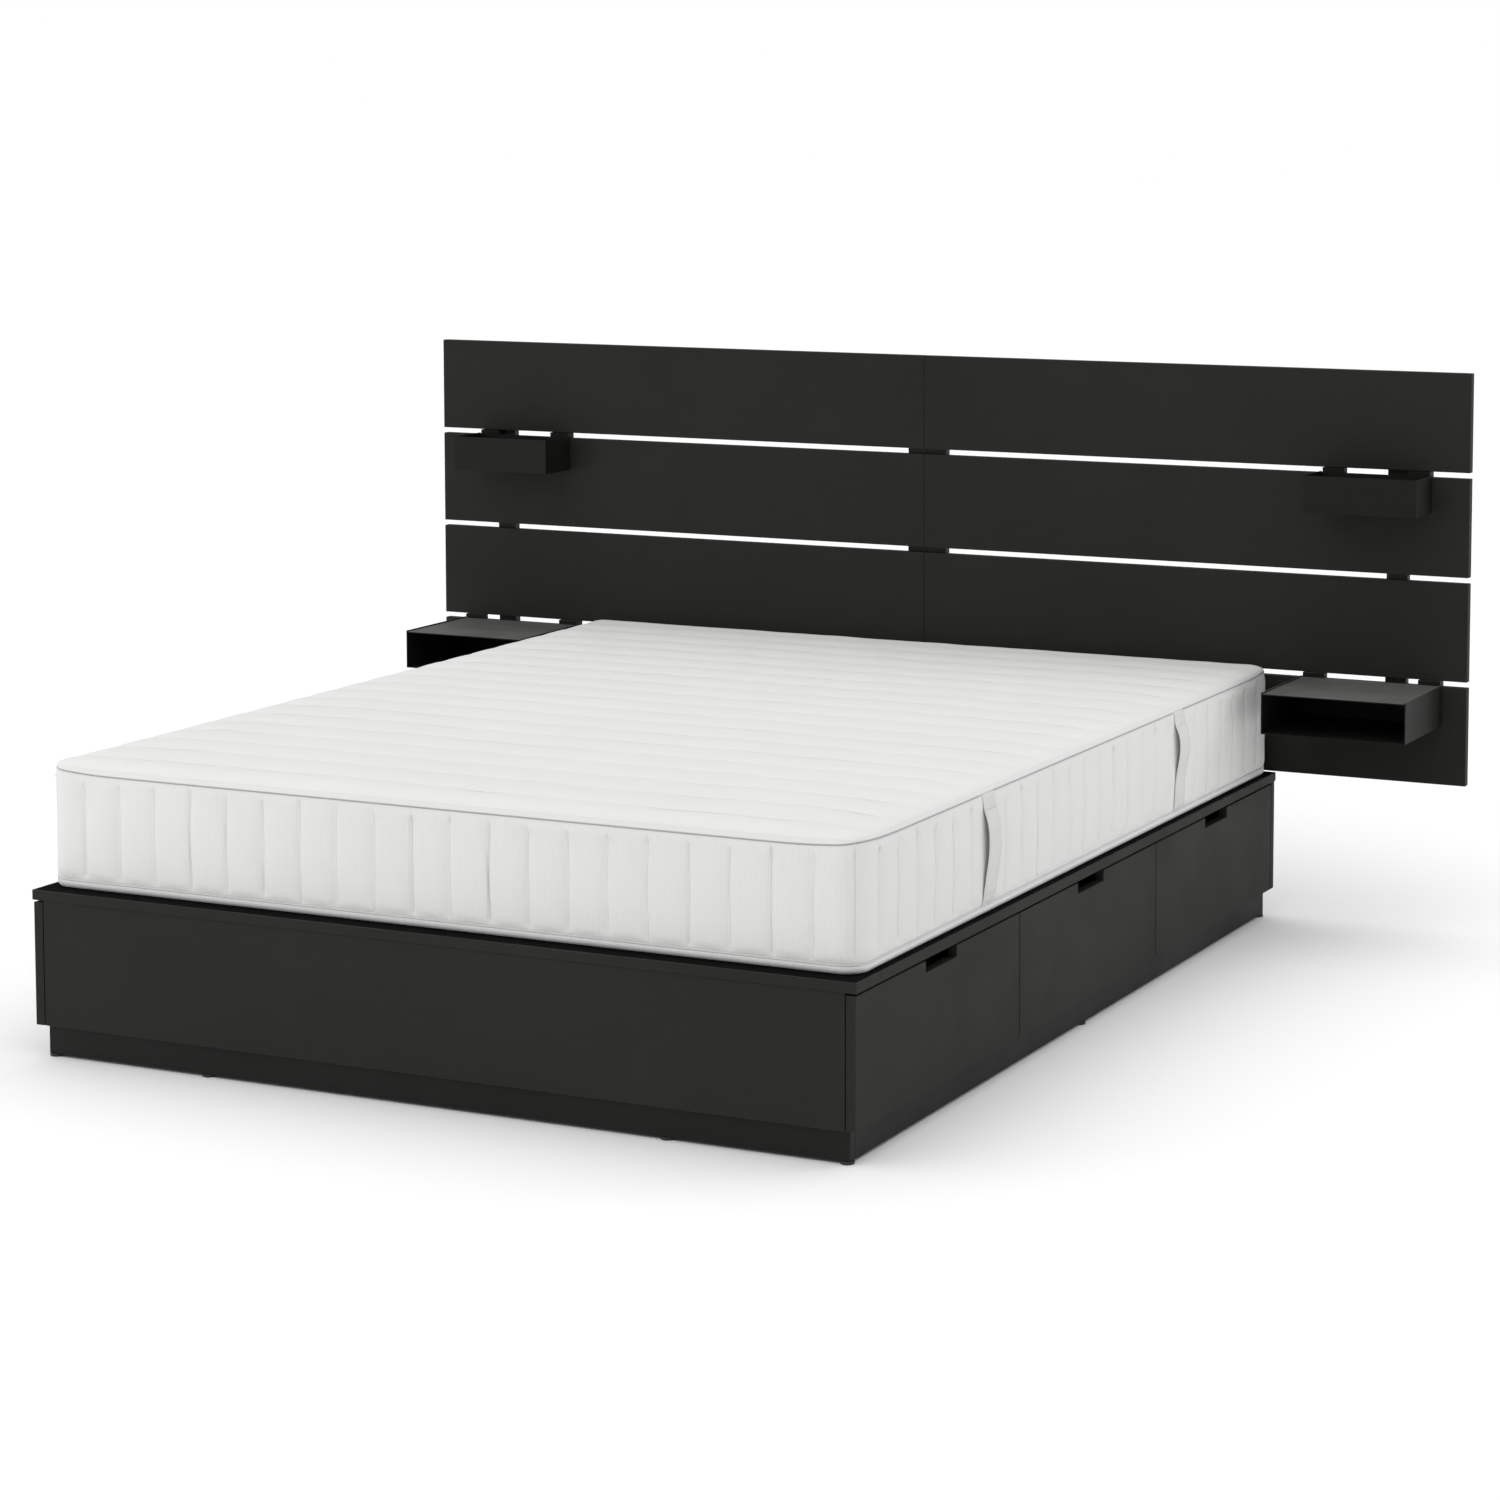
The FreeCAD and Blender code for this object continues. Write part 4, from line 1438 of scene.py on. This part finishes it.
        log.info("cloth moved the cover by %.1f mm at most, %.1f%% of it past the cap",
                 float(size.max()) / MM, 100 * float((size > self.swell_cap).mean()))
        bpy.data.objects.remove(cover)

    def swelling(self, points: np.ndarray, facing: np.ndarray) -> np.ndarray:
        """How far the blown-up cover stands proud of the even one, at most a few millimetres.

        Args:
            points: Points on the even cover.
            facing: Outward direction at each.

        Returns:
            Distance along that direction.
        """
        if self.swollen is None:
            return np.zeros(len(points))
        found = np.zeros(len(points))
        for k, (point, way) in enumerate(zip(points, facing)):
            out = Vector(way)
            hit, _, _, distance = self.swollen.ray_cast(Vector(point) + out * 0.05, -out, 0.12)
            found[k] = 0.0 if hit is None else 0.05 - distance
        return np.clip(found, -self.swell_limit, self.swell_limit)

    # ---- surfaces ----

    def top_height(self, x: np.ndarray, y: np.ndarray) -> np.ndarray:
        """Height of the quilted top at points in plan.

        Args:
            x: Across the bed.
            y: Along the bed.

        Returns:
            Heights in metres.
        """
        qx = np.abs(x - self.middle.x) - (self.half.x - self.corner)
        qy = np.abs(y - self.middle.y) - (self.half.y - self.corner)
        outside = np.hypot(np.maximum(qx, 0), np.maximum(qy, 0)) + np.minimum(np.maximum(qx, qy), 0)
        inside = np.maximum(self.corner - outside, 0)
        lean = np.maximum(qx, 0) / np.maximum(np.hypot(np.maximum(qx, 0), np.maximum(qy, 0)), 1e-9)
        lean = np.where(inside > self.corner, (qx > qy).astype(float), lean)
        seam = self.seam_height(x, y, lean ** 2)
        level = self.high.z + self.crown_edge
        height = seam + (level - seam) * (1 - np.exp(-inside / (16 * MM)))
        height = height + self.crown * (1 - np.exp(-inside / 0.30))
        row = (y - self.low.y - self.quilt_first) / self.quilt_pitch
        row = row + 0.035 * ripple(x, y, 0.35, 21)
        last = math.floor((2 * self.half.y - self.quilt_first - 0.04) / self.quilt_pitch)
        nearest = np.clip(np.round(row), 0, last)
        away = np.abs(row - nearest) * self.quilt_pitch
        present = ease(inside, 8 * MM, 45 * MM)
        sewn = (self.quilt_depth * np.exp(-(away / self.quilt_width) ** 2)
                + self.stitch_depth * np.exp(-(away / self.stitch_width) ** 2)) * (1 + 0.22 * ripple(x, y, 0.12, 22))
        return height - present * sewn + 0.5 * MM * present * ripple(x, y, 0.09, 23)

    def border_out(self, channel: np.ndarray, share: np.ndarray, drop: np.ndarray,
                   rise: np.ndarray) -> np.ndarray:
        """How far the border stands in from the outline.

        Args:
            channel: Number of the channel round the border.
            share: Place across that channel, from 0 to 1.
            drop: Distance below the top seam.
            rise: Distance above the bottom seam.

        Returns:
            Distance outwards, which is mostly negative.
        """
        chance = np.random.default_rng(5).uniform(-1, 1, (4, 400))
        pick = chance[:, channel.astype(int) % 400]
        across = np.abs(2 * share - 1)
        away = (1 - across) * self.channel_pitch / 2
        pillow = 0.85 * (1 - np.exp(-away / self.channel_flank)) + 0.15 * (1 - across ** 2)
        start = self.plain_top + 7 * MM * pick[0]
        end = self.plain_bottom + 3 * MM * pick[1]
        near, far = ease(drop, start, start + 13 * MM), ease(rise, end, end + 9 * MM)
        depth = self.channel_depth * (1 + 0.22 * pick[2])
        return depth * (pillow - 1) * near * far + self.border_profile(drop, rise)

    @staticmethod
    def border_profile(drop: np.ndarray, rise: np.ndarray) -> np.ndarray:
        """How far the border bulges between its seams.

        Args:
            drop: Distance below the top seam.
            rise: Distance above the bottom seam.

        Returns:
            Distance outwards from the outline, which is negative.
        """
        bulge = 2.2 * MM * np.sin(math.pi * np.clip(drop / (drop + rise), 0, 1)) - 2.2 * MM
        return bulge - 3.2 * MM * (1 - ease(drop, 0, 20 * MM)) - 3.2 * MM * (1 - ease(rise, 0, 14 * MM))

    # ---- pieces ----

    def cover(self) -> Piece:
        """Build the closed cover: quilted top, channelled border and flat underside.

        Returns:
            The cover.
        """
        nx, ny = self.channels_short * len(self.SPREAD), self.channels_long * len(self.SPREAD)
        rims, evens, facings, walks, channels, shares = [], [], [], [], [], []
        walked_so_far, channels_so_far = 0.0, 0
        for side in range(4):
            count = self.channels_long if side % 2 else self.channels_short
            steps = self.stations(count)
            points, facing, walked = self.side_points(side, steps)
            rims.append(points)
            evens.append(self.side_points(side, self.stations(count, True))[0])
            facings.append(facing[:-1])
            walks.append(walked[:-1] + walked_so_far)
            number = np.minimum(np.floor(steps[:-1] * count + 1e-6), count - 1)
            channels.append(number + channels_so_far)
            shares.append(steps[:-1] * count - number)
            walked_so_far += walked[-1]
            channels_so_far += count
        outline = np.vstack([r[:-1] for r in rims])
        facing, walk = np.vstack(facings), np.concatenate(walks)
        channel, share = np.concatenate(channels), np.concatenate(shares)
        ring = len(outline)
        outward = np.column_stack([facing, np.zeros(ring)])
        seam = self.seam_height(outline[:, 0], outline[:, 1], facing[:, 0] ** 2)
        floor_seam = self.low.z + self.seam_lift

        # rings of the border, from the lip above the top seam down to the underside
        rows: list[np.ndarray] = []

        def add_row(out: Any, height: Any) -> None:
            """Add one ring at a distance outwards and a height."""
            plan = outline + facing * np.broadcast_to(out, (ring,))[:, None]
            rows.append(np.column_stack([plan, np.broadcast_to(height, (ring,))]))

        add_row(-6.4 * MM, seam + 2.6 * MM)
        add_row(-5.2 * MM, seam + 1.2 * MM)
        add_row(-8.6 * MM, seam)
        tall = seam - floor_seam
        even = np.linspace(0, 1, self.border_rows)
        eased = 0.5 - 0.5 * np.cos(math.pi * even)
        steps = 0.45 * even + 0.55 * eased
        for step in steps:
            drop = 1.6 * MM + (tall - 3.2 * MM) * step
            sway = 1.3 * MM * ripple(walk * 1.0, drop * 1.0 + channel * 0.31, 0.09, 31)
            out = self.border_out(channel, share, drop, tall - drop)
            flesh = np.sin(math.pi * np.clip(drop / tall, 0, 1))
            points = np.column_stack([outline, seam - drop])
            puff = self.swelling(points, outward) * flesh if 0.02 < step < 0.98 else 0.0
            out = out + self.swell_share * puff + 0.35 * MM * ripple(walk, drop, 0.03, 32) * flesh
            sideways = np.column_stack([-facing[:, 1], facing[:, 0]]) * (sway * flesh)[:, None]
            plan = outline + facing * np.broadcast_to(out, (ring,))[:, None] + sideways
            rows.append(np.column_stack([plan, seam - drop]))
        add_row(-7.0 * MM, floor_seam)
        add_row(-4.4 * MM, floor_seam - 1.8 * MM)
        add_row(-3.6 * MM, floor_seam - 6.0 * MM)
        add_row(-4.6 * MM, floor_seam - 10.5 * MM)
        add_row(-8.0 * MM, self.low.z + 1.6 * MM)
        add_row(-14.0 * MM, self.low.z)
        add_row(-30.0 * MM, self.low.z)
        self.rows, self.outline, self.facing, self.walk = rows, outline, facing, walk
        self.seam_row, self.floor_row, self.border_first = 2, 3 + self.border_rows, 3
        self.channel, self.share = channel, share

        # the top: a grid whose rim is the first ring
        inset = 6.4 * MM
        grids = []
        for source in (rims, evens):
            sides = []
            for side in range(4):
                count = self.channels_long if side % 2 else self.channels_short
                steps = self.stations(count, source is evens)
                points, way, _ = self.side_points(side, steps)
                sides.append(points - way * inset)
            foot, right, head, left = sides[0], sides[1], sides[2][::-1], sides[3][::-1]
            us = self.stations(self.channels_short, source is evens)[:, None, None]
            vs = self.stations(self.channels_long, source is evens)[None, :, None]
            grid = (1 - vs) * foot[:, None] + vs * head[:, None] + (1 - us) * left[None] + us * right[None]
            grid -= ((1 - us) * (1 - vs) * foot[0] + us * (1 - vs) * foot[-1]
                     + (1 - us) * vs * head[0] + us * vs * head[-1])
            grids.append(grid)
        i, j = np.arange(nx + 1)[:, None], np.arange(ny + 1)[None, :]
        edge = np.minimum(np.minimum(i, nx - i), np.minimum(j, ny - j))
        share_even = ease(edge.astype(float), 0, 9)[..., None]
        plan = grids[0] * (1 - share_even) + grids[1] * share_even
        height = self.top_height(plan[..., 0], plan[..., 1])
        flat_points = np.column_stack([plan.reshape(-1, 2), height.ravel()])
        if self.swollen is not None:
            coarse = self.swelling(flat_points, np.tile((0.0, 0.0, 1.0), (len(flat_points), 1)))
            soft = ease(edge.astype(float), 0, 22).ravel()
            self.top_swell = coarse.reshape(nx + 1, ny + 1)
            flat_points[:, 2] += self.swell_share * coarse * soft
        grid_points = flat_points.reshape(nx + 1, ny + 1, 3)

        # number the vertices: rings first, then what lies inside the rim
        numbers = np.full((nx + 1, ny + 1), -1)
        numbers[:nx, 0] = np.arange(nx)
        numbers[nx, :ny] = nx + np.arange(ny)
        numbers[nx:0:-1, ny] = nx + ny + np.arange(nx)
        numbers[0, ny:0:-1] = 2 * nx + ny + np.arange(ny)
        inner = numbers < 0
        numbers[inner] = len(rows) * ring + np.arange(int(inner.sum()))
        vertices = np.vstack([np.vstack(rows), grid_points[inner]])

        faces: list[list[int]] = []
        spots: list[list[tuple[float, float]]] = []
        total = walked_so_far
        for r in range(len(rows) - 1):
            for k in range(ring):
                n = (k + 1) % ring
                a, b = r * ring, (r + 1) * ring
                faces.append([a + k, b + k, b + n, a + n])
                w0, w1 = walk[k], walk[n] if n else total
                z0, z1 = rows[r][k, 2], rows[r + 1][k, 2]
                spots.append([(w0, z0), (w0, z1), (w1, z1), (w1, z0)])
        for a in range(nx):
            for b in range(ny):
                corners = [(a, b), (a + 1, b), (a + 1, b + 1), (a, b + 1)]
                faces.append([int(numbers[c]) for c in corners])
                spots.append([(grid_points[c][1], grid_points[c][0]) for c in corners])
        base = (len(rows) - 1) * ring
        faces.append([base + k for k in range(ring)][::-1])
        spots.append([(outline[k, 1], outline[k, 0]) for k in range(ring)][::-1])
        piece = make_piece("mattress_padding", vertices, faces, self.shop.paint.get("mattress_cover"))
        uv = piece.data.uv_layers.new(name="ticking")
        uv.data.foreach_set("uv", [c for face in spots for spot in face for c in spot])
        return piece

    def piping(self) -> None:
        """Thin piping in the top and the bottom seam; the top one is grey, painted shade for the shadow line along
        that seam.
        """
        facing = np.column_stack([self.facing, np.zeros(len(self.facing))])
        ends = np.array([self.middle.y + offset for offset in self.handle_offsets])
        beside = (np.abs(self.facing[:, 0]) > 0.99) & (
            np.abs(self.outline[:, 1:2] - ends).min(axis=1) < self.handle_width / 2)
        for label, row in (("top", self.seam_row), ("bottom", self.floor_row)):
            points = self.rows[row].copy() + facing * 2.2 * MM
            if label == "top":
                first = int(np.nonzero(beside)[0][0])
                order = np.roll(np.arange(len(points)), -first)
                cuts = np.nonzero(np.diff(beside[order].astype(int)))[0] + 1
                runs = [run for run in np.split(order, cuts) if not beside[run[0]]]
            else:
                runs = [np.arange(len(points))]
            carrier = line_object(f"mattress_piping_{label}", [points[run] for run in runs],
                                  [facing[run] for run in runs], len(runs) == 1)
            piece = self.shop.cord.run(f"mattress_piping_{label}", carrier,
                                       {"Radius": self.piping_radius, "Sides": 8,
                                        "Finish": self.shop.paint.get(f"mattress_piping_{label}")})
            keep(piece, "base", "mattress_cover")

    def sewing(self) -> None:
        """Stitches along every channel of the border and every quilted line of the top."""
        lines, facings = [], []
        last = self.border_first + self.border_rows
        ring_facing = np.column_stack([self.facing, np.zeros(len(self.facing))])
        for k in np.nonzero(self.share < 1e-6)[0]:
            column = np.array([self.rows[r][k] for r in range(self.border_first, last)])
            drop = column[0, 2] - column[:, 2]
            kept = (drop > self.plain_top) & (drop < drop[-1] - self.plain_bottom)
            lines.append(column[kept] + ring_facing[k] * 0.15 * MM)
            facings.append(np.tile(ring_facing[k], (int(kept.sum()), 1)))
        piece = self.shop.stitches("mattress_border_stitches", lines, facings, 5.2 * MM, 3.6 * MM, 0.8 * MM)
        keep(piece, "base", "mattress_cover")
        lines, facings = [], []
        x = np.linspace(self.low.x + 40 * MM, self.high.x - 40 * MM, 170)
        row = 0
        while self.low.y + self.quilt_first + row * self.quilt_pitch < self.high.y - 0.04:
            y = np.full(len(x), self.low.y + self.quilt_first + row * self.quilt_pitch)
            for _ in range(3):
                y = self.low.y + self.quilt_first + self.quilt_pitch * (row - 0.035 * ripple(x, y, 0.35, 21))
            points = np.column_stack([x, y, self.top_height(x, y)])
            raised = self.swelling(points, np.tile((0.0, 0.0, 1.0), (len(x), 1)))
            points[:, 2] += self.swell_share * raised + 0.1 * MM
            lines.append(points)
            facings.append(np.tile((0.0, 0.0, 1.0), (len(x), 1)))
            row += 1
        piece = self.shop.stitches("mattress_top_stitches", lines, facings, 6.5 * MM, 4.2 * MM, 0.9 * MM)
        keep(piece, "base", "mattress_cover")

    def handles(self) -> None:
        """Four upright straps, sewn down at both ends and standing off between."""
        points: list[tuple[float, float, float]] = []
        faces: list[list[int]] = []
        sewing, facings = [], []
        seam = self.high.z - self.seam_drop_side
        bottom = self.low.z + self.seam_lift
        outline = [(-0.5, 0.0), (-0.49, 0.5), (-0.47, 1.0), (-0.25, 1.0), (0.0, 1.0), (0.25, 1.0), (0.47, 1.0),
                   (0.49, 0.5), (0.5, 0.0), (0.47, -0.2), (0.0, -0.2), (-0.47, -0.2)]
        thick = 1.8 * MM
        for side in (-1, 1):
            face = self.middle.x + side * self.half.x
            for offset in self.handle_offsets:
                y = self.middle.y + offset
                path = [(-10 * MM, seam + 0.6 * MM), (-7.4 * MM, seam - 0.2 * MM)]
                for step in np.linspace(0, 1, 31):
                    drop = 2.2 * MM + (seam - bottom - 4.4 * MM) * step
                    hug = float(self.border_profile(np.array(drop), np.array(seam - bottom - drop)))
                    free = np.clip((step - 0.12) / (self.handle_free if offset < 0 else 0.62), 0, 1)
                    bow = self.handle_bow * math.sin(math.pi * free ** 0.62) ** 1.5
                    path.append((hug + 0.1 * MM + bow, seam - drop))
                path += [(-7.4 * MM, bottom + 0.4 * MM), (-10 * MM, bottom)]
                first = len(points)
                for k, (out, z) in enumerate(path):
                    before, after = path[max(k - 1, 0)], path[min(k + 1, len(path) - 1)]
                    run = Vector((after[0] - before[0], after[1] - before[1])).normalized()
                    normal = Vector((-run.y, run.x))
                    for across, lift in outline:
                        points.append((face + side * (out + normal.x * lift * thick),
                                       y + across * self.handle_width, z + normal.y * lift * thick))
                count = len(outline)
                for k in range(len(path) - 1):
                    for s in range(count):
                        a, b = first + k * count + s, first + k * count + (s + 1) % count
                        faces.append([a, b, b + count, a + count])
                faces.append([first + s for s in range(count)])
                faces.append([first + (len(path) - 1) * count + s for s in range(count)])
                for top, low in ((seam - 8 * MM, seam - 26 * MM), (bottom + 22 * MM, bottom + 6 * MM)):
                    w = self.handle_width / 2 - 5 * MM
                    out = face + side * (0.4 * MM + thick)
                    for line in ([(out, y - w, top), (out, y + w, top)], [(out, y + w, low), (out, y - w, low)]):
                        sewing.append(np.array(line))
                        facings.append(np.tile((float(side), 0.0, 0.0), (2, 1)))
        piece = make_piece("mattress_handles", np.array(points), faces, self.shop.paint.get("mattress_band"))
        shape = bmesh.new()
        shape.from_mesh(piece.data)
        bmesh.ops.recalc_face_normals(shape, faces=shape.faces)
        shape.to_mesh(piece.data)
        shape.free()
        keep(piece, "base", "mattress_cover")
        piece = self.shop.stitches("mattress_handle_stitches", sewing, facings, 4.4 * MM, 3.2 * MM, 0.9 * MM)
        keep(piece, "base", "mattress_cover")

    def build(self) -> None:
        """Make every piece of the mattress."""
        self.simulate()
        piece = self.cover()
        keep(piece, "base", "mattress_cover", "mattress")
        self.piping()
        self.handles()
        self.sewing()


# ---------------------------------------------------------------- studio

@dataclass
class Lamp:
    """A square soft light that points at a spot."""

    name: str
    place: tuple[float, float, float]
    aim: tuple[float, float, float]
    side: float
    power: float

    def build(self) -> None:
        """Make the light."""
        light = bpy.data.lights.new(self.name, "AREA")
        light.shape, light.size, light.energy = "SQUARE", self.side, self.power
        lamp = bpy.data.objects.new(self.name, light)
        lamp.location = self.place
        lamp.rotation_euler = (Vector(self.aim) - Vector(self.place)).to_track_quat("-Z", "Y").to_euler()
        bpy.context.scene.collection.objects.link(lamp)


@dataclass
class Studio:
    """White floor, even soft light and the camera."""

    paint: Paintbox
    camera_place: tuple[float, float, float] = (3.2485, -6.2128, 1.6934)
    camera_yaw: float = 25.551
    camera_pitch: float = 5.490
    lens: float = 89.016
    shift: tuple[float, float] = (-0.06, -0.20)
    floor_reach: float = 60.0
    glow_low: float = 0.10
    glow_rise: float = 1.30
    glow_key: float = 0.36
    key_way: tuple[float, float, float] = (-0.56, -0.77, 0.30)
    lamps: tuple[Lamp, ...] = (
        Lamp("left_front", (-3.2, -3.4, 0.9), (-0.8, -1.0, 0.2), 1.4, 15.0),
        Lamp("right", (3.6, 2.0, 1.2), (0.8, 0.9, 0.4), 1.2, 18.0),
    )

    def floor(self) -> None:
        """Lay the floor."""
        count = 12
        line = np.linspace(-self.floor_reach, self.floor_reach, count + 1)
        x, y = np.meshgrid(line, line, indexing="ij")
        points = np.column_stack([x.ravel(), y.ravel(), np.zeros(x.size)])
        row = count + 1
        faces = [[i * row + j, (i + 1) * row + j, (i + 1) * row + j + 1, i * row + j + 1]
                 for i in range(count) for j in range(count)]
        make_piece("studio_floor", points, faces, self.paint.get("ground"), False)

    def light(self) -> None:
        """Set the even glow all round, and the soft lights."""
        world = bpy.data.worlds.new("studio")
        bpy.context.scene.world = world
        world.use_nodes = True
        nodes, links = world.node_tree.nodes, world.node_tree.links
        nodes.clear()
        out = nodes.new("ShaderNodeOutputWorld")
        mixed = nodes.new("ShaderNodeMixShader")
        path = nodes.new("ShaderNodeLightPath")
        glow, white = nodes.new("ShaderNodeBackground"), nodes.new("ShaderNodeBackground")
        for place in (glow, white):
            place.inputs["Color"].default_value = (1.0, 1.0, 1.0, 1.0)
        way, parts = nodes.new("ShaderNodeTexCoord"), nodes.new("ShaderNodeSeparateXYZ")
        rise = nodes.new("ShaderNodeMapRange")
        rise.inputs["To Min"].default_value = self.glow_low
        rise.inputs["To Max"].default_value = self.glow_low + self.glow_rise
        links.new(way.outputs["Generated"], parts.inputs[0])
        links.new(parts.outputs["Z"], rise.inputs["Value"])
        lean, facing, total = (nodes.new(kind) for kind in ("ShaderNodeVectorMath", "ShaderNodeMapRange",
                                                            "ShaderNodeMath"))
        lean.operation = "DOT_PRODUCT"
        lean.inputs[1].default_value = self.key_way
        facing.inputs["To Max"].default_value = self.glow_key
        total.operation = "ADD"
        links.new(way.outputs["Generated"], lean.inputs[0])
        links.new(lean.outputs["Value"], facing.inputs["Value"])
        links.new(rise.outputs[0], total.inputs[0])
        links.new(facing.outputs[0], total.inputs[1])
        links.new(total.outputs[0], glow.inputs["Strength"])
        links.new(path.outputs["Is Camera Ray"], mixed.inputs[0])
        links.new(glow.outputs[0], mixed.inputs[1])
        links.new(white.outputs[0], mixed.inputs[2])
        links.new(mixed.outputs[0], out.inputs[0])
        for lamp in self.lamps:
            lamp.build()

    def camera(self) -> None:
        """Set the camera."""
        data = bpy.data.cameras.new("camera")
        data.sensor_width = 36.0
        data.lens = self.lens
        data.shift_x, data.shift_y = self.shift
        data.clip_end = 200.0
        camera = bpy.data.objects.new("camera", data)
        camera.location = self.camera_place
        camera.rotation_euler = (math.radians(90.0 - self.camera_pitch), 0.0, math.radians(self.camera_yaw))
        bpy.context.scene.collection.objects.link(camera)
        bpy.context.scene.camera = camera

    def build(self) -> None:
        """Set up the whole studio."""
        self.floor()
        self.light()
        self.camera()
        bpy.context.scene.view_settings.view_transform = "Standard"


def main() -> None:
    """Build every piece in order."""
    logging.basicConfig(level=logging.INFO, format="%(message)s")
    paint = Paintbox()
    Studio(paint).build()
    shop = Workshop(paint)
    carcass = Carcass(shop)
    carcass.dress()
    carcass.glides()
    carcass.tapes()
    carcass.strip()
    drawers = Drawers(shop)
    drawers.dress()
    drawers.screws()
    headboard = Headboard(shop)
    headboard.dress()
    headboard.screws()
    headboard.bolts()
    HangingSteel(shop).dress()
    Mattress(shop).build()


if __name__ == "__main__":
    main()
